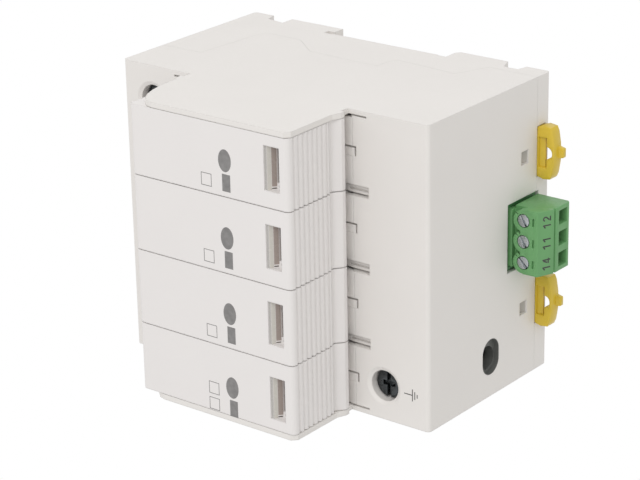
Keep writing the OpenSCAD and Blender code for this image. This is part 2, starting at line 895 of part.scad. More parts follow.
// Bistable clip that locks behind the rail's lower flange, with a slot and a round eye in its tab
module rail_clip(x) {
    half = clip_w / 2;
    corner_x = half + tab_flare / 2;
    tab_z = clip_out - tab_bulge;
    right_side = [
        [tab_mid_share * half, -base_down - clip_out],
        [corner_x - tab_corner_w, -base_down - tab_z],
        [corner_x, -base_down - tab_z + tab_corner_h],
        [half + tab_flare, -base_down - tab_flare_share * clip_out],
        [half, -base_down],
        [half, -rail_half - clip_gap],
    ];
    color(clip_yellow)
        translate([x, 0, 0])
            difference() {
                union() {
                    front_extrude(clip_front, clip_back, concat(right_side, flipped(right_side)));
                    block(
                        [-half, clip_front + cut, -rail_half - jaw_h],
                        [half, jaw_y + jaw_t, -rail_half - clip_gap]
                    );
                    block([-half, jaw_y, -rail_half - jaw_h], [half, jaw_y + jaw_t, -rail_half + jaw_reach]);
                    front_extrude(clip_back - nub_t, clip_back, [
                        [-nub_half_w, -base_down - clip_out + cut],
                        [-nub_half_w, -base_down - clip_out],
                        [-nub_tip_half_w, -base_down - clip_out - nub_h],
                        [nub_tip_half_w, -base_down - clip_out - nub_h],
                        [nub_half_w, -base_down - clip_out],
                        [nub_half_w, -base_down - clip_out + cut],
                    ]);
                }
                front_extrude(clip_front - cut, clip_back + cut, concat(
                    [
                        [-pry_half_w, -base_down - pry_h],
                        [-pry_half_w, -base_down - pry_gap],
                        [pry_half_w, -base_down - pry_gap],
                        [pry_half_w, -base_down - pry_h],
                    ],
                    arc([0, -base_down - pry_h], eye_r, eye_r, 0, -180, 10)
                ));
            }
}

// Header: an open shroud round three pins
module signal_header() {
    color(header_green)
        difference() {
            block(
                [conn_x - header_w / 2, header_front, -header_rim],
                [conn_x + header_w / 2, conn_back, -header_top]
            );
            block(
                [conn_x - header_w / 2 + shroud_wall, header_front + shroud_wall, -header_rim - cut],
                [conn_x + header_w / 2 - shroud_wall, conn_back - shroud_wall, -header_floor]
            );
            for (w = [-1, 0, 1])
                block(
                    [conn_x + w * conn_pitch - pin_t / 2, nose_y - pin_t / 2, -header_floor - cut],
                    [conn_x + w * conn_pitch + pin_t / 2, nose_y + pin_t / 2, -header_top + cut]
                );
        }
}

module header_pins() {
    color(zinc_grey)
        for (w = [-1, 0, 1])
            block(
                [conn_x + w * conn_pitch - pin_t / 2, nose_y - pin_t / 2, -head_top + pin_end_gap],
                [conn_x + w * conn_pitch + pin_t / 2, nose_y + pin_t / 2, -header_top]
            );
}

module signal_switch() {
    color(carrier_grey)
        block(
            [conn_x - switch_w / 2, switch_front, -header_top],
            [conn_x + switch_w / 2, switch_back, -header_top + switch_h]
        );
}

// Bar behind the bay floor that any cartridge can push back onto the switch
module signal_bar() {
    bar_y = contact_front + bus_gap;
    half_h = tunnel_half - tunnel_gap;
    color(carrier_grey) {
        block(
            [pole_x(0) - stud_w, bar_y, -half_h],
            [pole_x(pole_count - 1) + stud_w, bar_y + signal_bar_t, half_h]
        );
        for (i = [0:pole_count - 1])
            block(
                [pole_x(i) - stud_w / 2, body_back + stud_gap, -stud_w / 2],
                [pole_x(i) + stud_w / 2, bar_y + cut, stud_w / 2]
            );
        block(
            [conn_x - lever_half_w, bar_y + lever_inset, -header_top + lever_inset],
            [conn_x + lever_half_w, lever_back, 0]
        );
    }
}

// Plug of the signal connector: a sloped face for the numbers, a step, and round lobes at the screws
module plug_housing() {
    head = [
        [plug_front, -head_top],
        [plug_front + face_slope_y, -plug_low + face_edge_up],
        [plug_front + print_face_d, -plug_low],
        [plug_front + print_face_d, -plug_low + step_depth],
        [plug_front + print_face_d + step_w, -plug_low + step_depth],
        [plug_front + print_face_d + step_w, -plug_low],
        [plug_back - plug_edge, -plug_low],
        [plug_back, -plug_low + plug_edge],
        [plug_back, -head_top],
    ];
    color(plug_green)
        difference() {
            union() {
                side_extrude(conn_x - plug_w / 2, conn_x + plug_w / 2, head);
                block(
                    [conn_x - nose_w / 2, nose_y - nose_d / 2, -head_top - cut],
                    [conn_x + nose_w / 2, nose_y + nose_d / 2, -head_top + plug_in]
                );
            }
            plug_valleys();
            for (w = [-1, 0, 1])
                translate([conn_x + w * conn_pitch, 0, 0])
                    plug_way_cuts();
        }
}

module plug_valleys() {
    difference() {
        block(
            [conn_x - plug_w / 2 - cut, plug_front - cut, plug_screw_z],
            [conn_x + plug_w / 2 + cut, plug_front + lobe_depth, -head_top]
        );
        for (w = [-1, 0, 1])
            translate([conn_x + w * conn_pitch, plug_front - 2 * cut, plug_screw_z])
                rotate([-90, 0, 0])
                    cylinder(h = lobe_depth + 3 * cut, r = lobe_r);
    }
}

// One way of the plug: driver hole, test slot, clamp chamber, wire opening and pin socket
module plug_way_cuts() {
    chamber_y = clamp_front - clamp_travel - clamp_front_gap;
    chamber_half_h = clamp_half_h + clamp_end_gap;
    test_z = plug_screw_z - test_slot_drop;
    translate([0, plug_front - cut, plug_screw_z])
        rotate([-90, 0, 0])
            cylinder(h = chamber_y - plug_front + 2 * cut, r = plug_hole_r);
    block(
        [-test_slot_len / 2, plug_front - cut, test_z - test_slot_w / 2],
        [test_slot_len / 2, plug_front + test_slot_depth, test_z + test_slot_w / 2]
    );
    block(
        [-clamp_half_w - clamp_side_gap, chamber_y, plug_screw_z - chamber_half_h],
        [clamp_half_w + clamp_side_gap, plug_back - chamber_back_wall, plug_screw_z + chamber_half_h]
    );
    block(
        [-plug_wire / 2, plug_wire_y - plug_wire / 2, -plug_low - cut],
        [plug_wire / 2, plug_wire_y + plug_wire / 2, plug_screw_z]
    );
    block(
        [-pin_t / 2 - socket_gap, nose_y - pin_t / 2 - socket_gap, -head_top + socket_inset],
        [pin_t / 2 + socket_gap, nose_y + pin_t / 2 + socket_gap, -head_top + plug_in + cut]
    );
}

module plug_screw(x, turn) {
    front = plug_front + plug_head_sink;
    color(zinc_grey)
        translate([x, front, plug_screw_z])
            difference() {
                rotate([-90, 0, 0]) {
                    cylinder(h = plug_head_h, r = plug_head_r);
                    cylinder(h = clamp_front + clamp_wall + plug_tip - front, r = plug_shank_r);
                }
                rotate([0, turn, 0])
                    block(
                        [-plug_head_r - cut, -cut, -plug_slot_w / 2],
                        [plug_head_r + cut, plug_slot_depth, plug_slot_w / 2]
                    );
            }
}

module plug_clamp(x) {
    color(zinc_grey)
        difference() {
            block(
                [x - clamp_half_w, clamp_front, plug_screw_z - clamp_half_h],
                [x + clamp_half_w, clamp_back + clamp_wall, plug_screw_z + clamp_half_h]
            );
            block(
                [x - clamp_half_w + clamp_side, clamp_front + clamp_wall, plug_screw_z - clamp_half_h - cut],
                [x + clamp_half_w - clamp_side, clamp_back, plug_screw_z + clamp_half_h + cut]
            );
            translate([x, clamp_front - cut, plug_screw_z])
                rotate([-90, 0, 0])
                    cylinder(h = clamp_wall + 2 * cut, r = plug_shank_r + thread_clear);
        }
}

// Lower half of the cap's outline: rounded corner, grip ribs, finger groove and lip
cap_end = concat(
    arc([front_y + front_r, front_r - nose_half], front_r, front_r, 180, 270, 4),
    [for (i = [0:rib_count - 1]) for (s = [-1, 0, 1]) [
        front_y + first_rib + i * rib_pitch + s * rib_crest_share * rib_pitch,
        -nose_half + (s == 0 ? rib_depth : 0),
    ]],
    [for (share = finger_shares) [
        front_y + rib_zone + share * rib_pitch,
        -nose_half + finger_depth_share * rib_depth,
    ]],
    [
        [lip_back - lip_t, -lip_z],
        [lip_back, -lip_z],
        [lip_back, -body_half],
    ]
);
cap_outline = concat(cap_end, mirrored(cap_end));

function cap_left(i) = i == 0 ? -bay_half_w + cap_gap / 2 : pole_x(i) - cap_half_w;
function cap_right(i) = i == pole_count - 1 ? bay_half_w - cap_gap / 2 : pole_x(i) + cap_half_w;

module casing(i) {
    x = pole_x(i);
    left = x - window_w / 2;
    right = x + window_w / 2;
    color(cartridge_white)
        difference() {
            union() {
                side_extrude(cap_left(i), cap_right(i), cap_outline);
                block([x - body_half_w, lip_back - cut, -body_half], [x + body_half_w, body_back, body_half]);
            }
            block(
                [x - casing_in_w, front_y + front_wall, -casing_in_half],
                [x + casing_in_w, body_back + cut, casing_in_half]
            );
            side_extrude(left, right, [
                [front_y - cut, window_top],
                [front_y - cut, window_bottom],
                [slot_y, window_bottom],
                [slot_y, slot_top],
                [front_y + ledge_depth, window_top - ledge_h],
                [front_y + ledge_depth, window_top],
            ]);
            block(
                [left + foot_w, slot_y - cut, window_bottom],
                [right, front_y + front_wall + cut, slot_top]
            );
            block(
                [left + mark_inset, slot_y - cut, window_bottom + mark_inset],
                [left + mark_inset + mark_w, slot_y + mark_depth, slot_top - mark_inset]
            );
        }
}

// Base plate of a cartridge, with the cradle that holds the limiter
module carrier(i) {
    x = pole_x(i);
    color(carrier_grey)
        difference() {
            union() {
                block(
                    [x - casing_in_w, plate_front, -casing_in_half],
                    [x + casing_in_w, body_back, casing_in_half]
                );
                for (z = [limiter_low - cradle_t, limiter_high])
                    block(
                        [x - limiter_t / 2, limiter_front, z],
                        [x + limiter_t / 2, plate_front + cut, z + cradle_t]
                    );
            }
            for (z = [-blade_z, blade_z])
                block(
                    [x - blade_w / 2, plate_front - cut, z - blade_t / 2],
                    [x + blade_w / 2, body_back + cut, z + blade_t / 2]
                );
        }
}

// Blade pair; each blade's inner end rises along one face of the limiter
module blades(i) {
    foot_out = limiter_t / 2 + riser_t;
    foot_back = blade_inner + blade_foot_t;
    low = blade_z - blade_t / 2;
    high = blade_z + blade_t / 2;
    color(brass_yellow)
        translate([pole_x(i), 0, 0])
            for (turn = [0, 180])
                rotate([0, turn, 0]) {
                    block([-blade_w / 2, blade_inner, low], [blade_w / 2, body_back + blade_len, high]);
                    block([0, blade_inner, low], [foot_out, foot_back, high]);
                    block(
                        [limiter_t / 2, limiter_back - riser_len, blade_z - riser_h],
                        [foot_out, foot_back, high]
                    );
                }
}

module tube_disc(r, x0, x1) {
    step = 360 / tube_sides;
    side_extrude(x0, x1, [for (k = [0:tube_sides - 1]) [r * cos(k * step), r * sin(k * step)]]);
}

// Line poles hold a metal oxide block, the neutral pole a round gas discharge tube
module limiter(i) {
    half = limiter_t / 2;
    if (i == 0)
        color(zinc_grey)
            translate([pole_x(i), (limiter_front + limiter_back) / 2, (limiter_low + limiter_high) / 2]) {
                tube_disc(tube_r - tube_groove, -half, half);
                tube_disc(tube_r, -half, -half / 2);
                tube_disc(tube_r, half / 2, half);
            }
    else
        color(ceramic_blue)
            translate([pole_x(i), 0, 0])
                block([-half, limiter_front, limiter_low], [half, limiter_back, limiter_high]);
}

// White shutter behind the window; it slides up when the cartridge has failed
module shutter(i) {
    x = pole_x(i);
    color(indicator_grey)
        block(
            [x - shutter_half_w, shutter_front, shutter_low],
            [x + shutter_half_w, shutter_front + shutter_t, slot_top + shutter_lap]
        );
}

// Red plate behind the shutter, on its stem
module fault_plate(i) {
    x = pole_x(i);
    color(signal_red) {
        block(
            [x - shutter_half_w, fault_front, shutter_low],
            [x + shutter_half_w, fault_front + fault_t, slot_top + shutter_travel]
        );
        block(
            [x - stem_w / 2, fault_front, shutter_low],
            [x + stem_w / 2, plate_front, shutter_low + stem_h]
        );
    }
}

front_housing();
rear_housing();
neutral_bus();
earth_bar();
for (n = line_names)
    line_contact(pole_of(n));
signal_header();
header_pins();
signal_switch();
signal_bar();
for (n = pole_names) {
    upper_x = pole_x(pole_of(n)) + upper_screw_x;
    upper_cage = cage_half_h(upper_shoulder_h);
    terminal_screw(upper_x, upper_screw_z);
    terminal_cage(upper_x, upper_screw_z, upper_cage);
}
earth_x = pole_x(0) + lower_screw_x;
earth_cage = cage_half_h(lower_shoulder_h);
terminal_screw(earth_x, -lower_screw_z);  // terminal_screw_earth
terminal_cage(earth_x, -lower_screw_z, earth_cage);  // terminal_cage_earth
rail_clip(-clip_x);  // rail_clip_left
rail_clip(clip_x);  // rail_clip_right
plug_housing();
for (w = [0:len(way_names) - 1]) {
    way_x = conn_x + (w - 1) * conn_pitch;
    turn = plug_slot_turns[w];
    plug_screw(way_x, turn);
    plug_clamp(way_x);
}
for (n = pole_names) {
    casing(pole_of(n));
    carrier(pole_of(n));
    blades(pole_of(n));
    limiter(pole_of(n));
    shutter(pole_of(n));
    fault_plate(pole_of(n));
}
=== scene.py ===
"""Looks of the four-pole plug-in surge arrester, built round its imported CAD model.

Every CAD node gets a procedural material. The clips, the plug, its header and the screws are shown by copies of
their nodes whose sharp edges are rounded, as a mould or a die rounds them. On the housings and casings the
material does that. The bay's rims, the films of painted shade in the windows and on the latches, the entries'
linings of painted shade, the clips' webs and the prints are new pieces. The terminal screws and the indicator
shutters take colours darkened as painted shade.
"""

import json
import math

import bmesh
import bpy
import numpy as np
from bpy.props import FloatProperty, FloatVectorProperty, PointerProperty
from mathutils import Matrix, Vector

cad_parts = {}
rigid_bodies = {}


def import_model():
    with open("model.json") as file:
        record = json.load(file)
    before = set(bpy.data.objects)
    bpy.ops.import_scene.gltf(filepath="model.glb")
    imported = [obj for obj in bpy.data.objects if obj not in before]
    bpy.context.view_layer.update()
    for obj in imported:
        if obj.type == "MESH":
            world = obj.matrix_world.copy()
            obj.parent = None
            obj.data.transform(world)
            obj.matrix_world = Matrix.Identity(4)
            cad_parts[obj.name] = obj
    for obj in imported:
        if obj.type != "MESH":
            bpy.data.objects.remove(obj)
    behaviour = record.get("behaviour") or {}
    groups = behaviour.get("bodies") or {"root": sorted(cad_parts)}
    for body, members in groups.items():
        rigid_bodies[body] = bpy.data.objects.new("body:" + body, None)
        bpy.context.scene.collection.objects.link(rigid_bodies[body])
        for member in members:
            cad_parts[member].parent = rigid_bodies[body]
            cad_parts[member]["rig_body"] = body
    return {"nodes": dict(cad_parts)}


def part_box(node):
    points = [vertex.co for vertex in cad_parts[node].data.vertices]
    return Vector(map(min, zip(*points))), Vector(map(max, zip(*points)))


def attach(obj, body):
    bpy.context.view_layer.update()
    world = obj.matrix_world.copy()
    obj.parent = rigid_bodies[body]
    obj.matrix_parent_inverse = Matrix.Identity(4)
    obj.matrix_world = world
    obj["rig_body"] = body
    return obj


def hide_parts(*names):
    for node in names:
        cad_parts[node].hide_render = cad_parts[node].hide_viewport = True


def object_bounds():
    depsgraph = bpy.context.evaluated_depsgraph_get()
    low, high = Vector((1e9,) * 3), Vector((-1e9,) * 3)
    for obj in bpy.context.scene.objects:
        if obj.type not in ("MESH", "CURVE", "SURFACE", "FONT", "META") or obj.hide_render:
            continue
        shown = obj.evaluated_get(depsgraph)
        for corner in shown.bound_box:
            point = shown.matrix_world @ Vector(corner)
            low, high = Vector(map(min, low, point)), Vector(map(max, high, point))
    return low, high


bl_info = {
    "name": "Surge arrester looks",
    "version": (1, 0, 0),
    "blender": (4, 5, 0),
    "location": "View3D > Sidebar > Arrester",
    "description": "Dresses the packed surge arrester with rounded mouldings, prints and materials",
    "category": "Object",
}

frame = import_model()
CAD_LOW, CAD_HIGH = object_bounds()

MM = 0.001
POLES = ("n", "l1", "l2", "l3")
WAYS = ("left", "middle", "right")
SIDES = ("left", "right")


# Colours and nodes
SRGB_LOW_END = 0.04045
SRGB_LOW_SLOPE = 12.92
SRGB_OFFSET = 0.055
SRGB_POWER = 2.4
NOISE_LOW = 0.3
NOISE_HIGH = 0.7
FINE_DETAIL = 3.0
EDGE_SAMPLES = 6
CLOUD_MM = 14
PLASTIC_GLOSS_SPREAD = 0.05
STREAK_SCALE = (1.0, 1.0, 0.12)
PATCH_MM = 3
METAL_GLOSS_BELOW = 0.08
METAL_GLOSS_ABOVE = 0.1
INK_CLOUD_MM = 1.2
INK_LIGHTER = 1.25
INK_LIFT = 0.01


def linear_colour(code):
    """sRGB hex code to linear colour: the low end is divided by its slope, the rest follows a power curve."""
    parts = np.array([int(code[i : i + 2], 16) for i in (0, 2, 4)]) / 255
    curve = ((parts + SRGB_OFFSET) / (1 + SRGB_OFFSET)) ** SRGB_POWER
    return tuple(np.where(parts <= SRGB_LOW_END, parts / SRGB_LOW_SLOPE, curve))


def rgba(colour):
    """A colour with full opacity."""
    return (*colour[:3], 1.0)


def add_node(tree, kind, settings=None, inputs=None, links=None):
    """Adds a node, sets its properties and its sockets' own values, and links other nodes' sockets into it."""
    node = tree.nodes.new(kind)
    for name, value in (settings or {}).items():
        setattr(node, name, value)
    for name, value in (inputs or {}).items():
        node.inputs[name].default_value = value
    for name, source in (links or {}).items():
        tree.links.new(source, node.inputs[name])
    return node


def new_material(name):
    """An empty node material with its output node and Object coordinates."""
    material = bpy.data.materials.new(name)
    material.use_nodes = True
    tree = material.node_tree
    tree.nodes.clear()
    output = add_node(tree, "ShaderNodeOutputMaterial")
    place = add_node(tree, "ShaderNodeTexCoord").outputs["Object"]
    return material, tree, output, place


def noise(tree, place, size_mm, detail=2.0):
    """Noise whose blotches are about size_mm across."""
    inputs = {"Scale": 1 / (size_mm * MM), "Detail": detail}
    return add_node(tree, "ShaderNodeTexNoise", inputs=inputs, links={"Vector": place}).outputs["Fac"]


def between(tree, factor, low, high):
    """Spreads a factor over low to high, from the range that noise keeps to."""
    inputs = {"From Min": NOISE_LOW, "From Max": NOISE_HIGH, "To Min": low, "To Max": high}
    return add_node(tree, "ShaderNodeMapRange", inputs=inputs, links={"Value": factor}).outputs["Result"]


def tinted(tree, factor, first, second):
    """A colour between two, by a factor of 0 to 1: a mix node has its colours at inputs 6 and 7 and output 2."""
    colours = {6: rgba(first), 7: rgba(second)}
    return add_node(tree, "ShaderNodeMix", {"data_type": "RGBA"}, colours, {0: factor}).outputs[2]


def bumped(tree, height, depth_mm, edge_mm=None):
    """Normals of a relief that is depth_mm deep, on edges that look rounded by edge_mm."""
    links = {"Height": height}
    if edge_mm:
        edge = add_node(tree, "ShaderNodeBevel", {"samples": EDGE_SAMPLES}, {"Radius": edge_mm * MM})
        links["Normal"] = edge.outputs["Normal"]
    inputs = {"Strength": 1.0, "Distance": depth_mm * MM}
    return add_node(tree, "ShaderNodeBump", inputs=inputs, links=links).outputs["Normal"]


def moulded_plastic(name, colour, shade, roughness, grain_mm, relief_mm, inputs=None, edge_mm=None):
    """Injection-moulded plastic: clouds of colour, and the mould's spark-eroded grain in gloss and relief.

    With edge_mm the light falls on sharp edges as on a mould's small radius, and the mesh stays as the CAD's.
    """
    material, tree, output, place = new_material(name)
    clouds = noise(tree, place, CLOUD_MM)
    grain = noise(tree, place, grain_mm, FINE_DETAIL)
    darker = [channel * shade for channel in colour[:3]]
    base = tinted(tree, between(tree, clouds, 0, 1), colour, darker)
    gloss = between(tree, grain, roughness - PLASTIC_GLOSS_SPREAD, roughness + PLASTIC_GLOSS_SPREAD)
    links = {"Base Color": base, "Roughness": gloss, "Normal": bumped(tree, grain, relief_mm, edge_mm)}
    shader = add_node(tree, "ShaderNodeBsdfPrincipled", inputs=inputs, links=links)
    tree.links.new(shader.outputs["BSDF"], output.inputs["Surface"])
    return material


def worked_metal(name, colour, shade, roughness, streak_mm, relief_mm):
    """Stamped, turned or plated metal: streaks of gloss along one way, and light and dark patches."""
    material, tree, output, place = new_material(name)
    stretch = add_node(tree, "ShaderNodeMapping", inputs={"Scale": STREAK_SCALE}, links={"Vector": place})
    streaks = noise(tree, stretch.outputs["Vector"], streak_mm, FINE_DETAIL)
    patches = noise(tree, place, PATCH_MM)
    darker = [channel * shade for channel in colour[:3]]
    base = tinted(tree, between(tree, patches, 0, 1), colour, darker)
    gloss = between(tree, streaks, roughness - METAL_GLOSS_BELOW, roughness + METAL_GLOSS_ABOVE)
    links = {"Base Color": base, "Roughness": gloss, "Normal": bumped(tree, streaks, relief_mm)}
    shader = add_node(tree, "ShaderNodeBsdfPrincipled", inputs={"Metallic": 1.0}, links=links)
    tree.links.new(shader.outputs["BSDF"], output.inputs["Surface"])
    return material


# Materials, one function for each real one
def housing_material(looks, edge_mm):
    """Warm white polycarbonate with a fine eroded finish: matt, and a shade warmer than the cartridges."""
    name = "warm_white_polycarbonate_eroded"
    return moulded_plastic(
        name, looks.housing,
        shade=0.985, roughness=0.46, grain_mm=0.7, relief_mm=0.006, edge_mm=edge_mm,
    )


def cartridge_material(looks, edge_mm):
    """White polycarbonate from a smoother mould: a neutral white whose highlights are a little tighter."""
    name = "white_polycarbonate_satin"
    return moulded_plastic(
        name, looks.cartridge,
        shade=0.988, roughness=0.40, grain_mm=0.7, relief_mm=0.004, edge_mm=edge_mm,
    )


def carrier_material():
    """Grey glass-filled nylon: short fibres leave it dull and slightly mottled."""
    return moulded_plastic(
        "grey_glass_filled_nylon", linear_colour("6A6C70"),
        shade=0.86, roughness=0.56, grain_mm=0.9, relief_mm=0.02,
    )


def clip_material(looks):
    """Yellow acetal: waxy and fairly glossy, so that its rims catch the light."""
    inputs = {"Coat Weight": 0.15, "Coat Roughness": 0.3}
    return moulded_plastic(
        "yellow_acetal_moulded", looks.clip,
        shade=0.93, roughness=0.34, grain_mm=1.1, relief_mm=0.006, inputs=inputs,
    )


def plug_material(looks):
    """Green polyamide: an even, slightly chalky green with a soft sheen."""
    return moulded_plastic(
        "green_polyamide_moulded", looks.plug,
        shade=0.93, roughness=0.42, grain_mm=0.8, relief_mm=0.008,
    )


def header_material(looks):
    """Dark green polyamide of the fixed header, duller than the plug."""
    return moulded_plastic(
        "dark_green_polyamide_moulded", looks.header,
        shade=0.9, roughness=0.48, grain_mm=0.8, relief_mm=0.008,
    )


def shutter_material():
    """Acetal of the indicator shutter, warm grey as painted shade of its deep slot: darker than the casing, so
    that it reads as lying deeper.
    """
    return moulded_plastic(
        "acetal_shutter_painted_shade", linear_colour("9D948E"),
        shade=0.95, roughness=0.4, grain_mm=1.2, relief_mm=0.003,
    )


def window_shade_material(name, code):
    """Painted shade of a window's recessed slope or ledge: a smooth film, darker than the casing."""
    return moulded_plastic(
        name, linear_colour(code),
        shade=0.95, roughness=0.25, grain_mm=1.5, relief_mm=0.003,
    )


def latch_shade_material():
    """Painted shade on the rear shell's latches: a warm grey darker than the housing, for the latches that the
    snap windows show in the shade.
    """
    return moulded_plastic(
        "painted_shade_latch", linear_colour("B9B4AC"),
        shade=0.9, roughness=0.5, grain_mm=0.7, relief_mm=0.006,
    )


def entry_shade_material():
    """Painted shade inside the wire entries: a matt, dark grey lining, so that they read as openings."""
    return moulded_plastic(
        "painted_shade_entry_lining", linear_colour("6C6D6A"),
        shade=0.85, roughness=0.42, grain_mm=0.8, relief_mm=0.008,
    )


def fault_material():
    """Signal red polycarbonate: saturated and glossy."""
    return moulded_plastic(
        "signal_red_polycarbonate", linear_colour("C4231B"),
        shade=0.95, roughness=0.3, grain_mm=1.0, relief_mm=0.003,
    )


def switch_material():
    """Black phenolic switch body: dull, with a brownish shade."""
    return moulded_plastic(
        "black_phenolic_switch", linear_colour("2A2827"),
        shade=0.8, roughness=0.5, grain_mm=0.8, relief_mm=0.01,
    )


def varistor_material():
    """Blue epoxy that the varistor was dipped in: glossy, with the waves of the dried coat."""
    inputs = {"Coat Weight": 0.4, "Coat Roughness": 0.12}
    return moulded_plastic(
        "blue_dipped_epoxy", linear_colour("2C4C86"),
        shade=0.82, roughness=0.25, grain_mm=2.4, relief_mm=0.08, inputs=inputs,
    )


def screw_material():
    """Zinc-plated steel: bright blue-grey with faint turning streaks."""
    return worked_metal(
        "zinc_plated_steel_turned", linear_colour("C3C8CC"),
        shade=0.8, roughness=0.3, streak_mm=0.5, relief_mm=0.004,
    )


def terminal_material():
    """Zinc-plated steel coloured nearly black as painted shade, for the screws deep in their holes, with glints
    on edges.
    """
    return worked_metal(
        "zinc_plated_steel_painted_shade", linear_colour("55585A"),
        shade=0.6, roughness=0.3, streak_mm=0.5, relief_mm=0.004,
    )


def cage_material():
    """Zinc-plated steel strip, duller than the screws because it was tumbled."""
    return worked_metal(
        "zinc_plated_steel_tumbled", linear_colour("B4B8BB"),
        shade=0.75, roughness=0.42, streak_mm=1.0, relief_mm=0.01,
    )


def copper_material():
    """Stamped copper, lightly tarnished: pinkish brown with rolling streaks."""
    return worked_metal(
        "rolled_copper_strip", linear_colour("D69A78"),
        shade=0.72, roughness=0.34, streak_mm=0.8, relief_mm=0.006,
    )


def brass_material():
    """Stamped brass blades: yellow, with rolling streaks."""
    return worked_metal(
        "rolled_brass_strip", linear_colour("D9B96C"),
        shade=0.8, roughness=0.3, streak_mm=0.8, relief_mm=0.006,
    )


def tin_material():
    """Tin-plated pins: white, soft metal, slightly cloudy."""
    return worked_metal(
        "tin_plated_pin", linear_colour("D2D0CB"),
        shade=0.86, roughness=0.38, streak_mm=0.7, relief_mm=0.004,
    )


def tube_material():
    """Nickel-plated electrodes of the gas discharge tube: warm, bright and smooth."""
    return worked_metal(
        "nickel_plated_electrode", linear_colour("C9C4B8"),
        shade=0.85, roughness=0.24, streak_mm=1.2, relief_mm=0.003,
    )


def ink_material(name, colour):
    """Pad-printing ink: a thin matt film whose edge and tone vary a little."""
    material, tree, output, place = new_material(name)
    clouds = noise(tree, place, INK_CLOUD_MM)
    lighter = [min(1.0, channel * INK_LIGHTER + INK_LIFT) for channel in colour[:3]]
    base = tinted(tree, between(tree, clouds, 0, 1), colour, lighter)
    shader = add_node(tree, "ShaderNodeBsdfPrincipled", inputs={"Roughness": 0.55}, links={"Base Color": base})
    tree.links.new(shader.outputs["BSDF"], output.inputs["Surface"])
    return material


# Rounded copies of CAD nodes
MERGE_DISTANCE = 2e-6
FLAT_ANGLE = math.radians(0.6)
SHARP_ANGLE = math.radians(28)
WIDTH_SHARE = 0.36
LENGTH_SHARE = 0.42
CROSSING_SINE = 0.5
OPEN_ROOM = 1.0
ROUNDING_SEGMENTS = 2


def face_width(face):
    """Width of a long face: twice its area over its outline's length, which is right for a narrow strip."""
    return 2 * face.calc_area() / face.calc_perimeter()


def room_at(edge, vert):
    """How far a rounding of this edge may reach along the edges that leave its end sideways."""
    along = (edge.other_vert(vert).co - vert.co).normalized()
    room = OPEN_ROOM
    for other in vert.link_edges:
        if other is edge:
            continue
        away = other.other_vert(vert).co - vert.co
        sine = away.normalized().cross(along).length
        if sine > CROSSING_SINE:
            room = min(room, away.length * sine)
    return room


def rounding_share(edge, radius):
    """Share of the full radius that an edge takes: none on a flat or soft edge, less beside narrow faces."""
    faces = edge.link_faces
    if len(faces) != 2 or edge.calc_face_angle(0.0) < SHARP_ANGLE:
        return 0.0
    width = min(face_width(face) for face in faces)
    length = min(room_at(edge, vert) for vert in edge.verts)
    return min(1.0, WIDTH_SHARE * width / radius, LENGTH_SHARE * length / radius)


def rounded_copy(node, radius_mm, material):
    """Shows a CAD node by a copy whose triangles are joined into flat faces and whose edges are rounded."""
    source = frame["nodes"][node]
    mesh = source.data.copy()
    mesh.name = f"{node}_rounded"
    shape = bmesh.new()
    shape.from_mesh(mesh)
    bmesh.ops.remove_doubles(shape, verts=shape.verts, dist=MERGE_DISTANCE)
    bmesh.ops.dissolve_limit(shape, angle_limit=FLAT_ANGLE, verts=shape.verts, edges=shape.edges)
    bmesh.ops.recalc_face_normals(shape, faces=shape.faces)
    weights = shape.edges.layers.float.new("bevel_weight_edge")
    radius = radius_mm * MM
    for edge in shape.edges:
        edge[weights] = rounding_share(edge, radius)
        edge.smooth = edge[weights] > 0 or edge.calc_face_angle(0.0) < SHARP_ANGLE
    bmesh.ops.triangulate(shape, faces=shape.faces)
    for face in shape.faces:
        face.smooth = True
    shape.to_mesh(mesh)
    shape.free()
    mesh.materials.clear()
    mesh.materials.append(material)
    piece = bpy.data.objects.new(f"{node}_rounded", mesh)
    bpy.context.scene.collection.objects.link(piece)
    bevel = piece.modifiers.new("rounding", "BEVEL")
    bevel.width = radius
    bevel.segments = ROUNDING_SEGMENTS
    bevel.limit_method = "WEIGHT"
    bevel.harden_normals = True
    bevel.use_clamp_overlap = False
    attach(piece, source["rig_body"])
    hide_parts(node)


def dress(node, material):
    """Gives a CAD node that stays as it is its material."""
    mesh = frame["nodes"][node].data
    mesh.materials.clear()
    mesh.materials.append(material)


# Closed meshes, and the bay's rim: the shoulder's thin edge beside the cartridges
JOIN_DISTANCE = 1e-8
SHOULDER_FRONT = -44 * MM
BASE_BOTTOM = -44 * MM
BAY_HALF_HEIGHT = 22.5 * MM
BAY_CHAMFER = 1.2 * MM
RIM_INNER = 21.25 * MM
RIM_DEPTH = 1.2 * MM
RIM_ROUND = 0.25 * MM
RIM_END = 34.45 * MM
RIM_STEPS = 6
MODULE = 18 * MM
BOUNDARY_SHIFT = -0.65 * MM
TONGUE_HALF_SLOT = 1.3 * MM
TAB_LEFT = -1.7 * MM
TAB_RIGHT = 0.6 * MM


def closed_mesh(name, verts, faces):
    """A mesh from points and faces, with doubled points joined and the faces turned outwards."""
    mesh = bpy.data.meshes.new(name)
    mesh.from_pydata(verts, [], faces)
    shape = bmesh.new()
    shape.from_mesh(mesh)
    bmesh.ops.remove_doubles(shape, verts=shape.verts, dist=JOIN_DISTANCE)
    bmesh.ops.recalc_face_normals(shape, faces=shape.faces)
    shape.to_mesh(mesh)
    shape.free()
    return mesh


def strip_mesh(name, left, right, y, z):
    """A strip along X: a closed profile of points in Y and Z, carried from left to right."""
    count = len(y)
    verts = np.concatenate([np.column_stack([np.full(count, x), y, z]) for x in (left, right)])
    step = np.arange(count)
    after = (step + 1) % count
    sides = np.column_stack([step, after, after + count, step + count]).tolist()
    return closed_mesh(name, verts.tolist(), [*sides, step.tolist(), (step + count).tolist()])


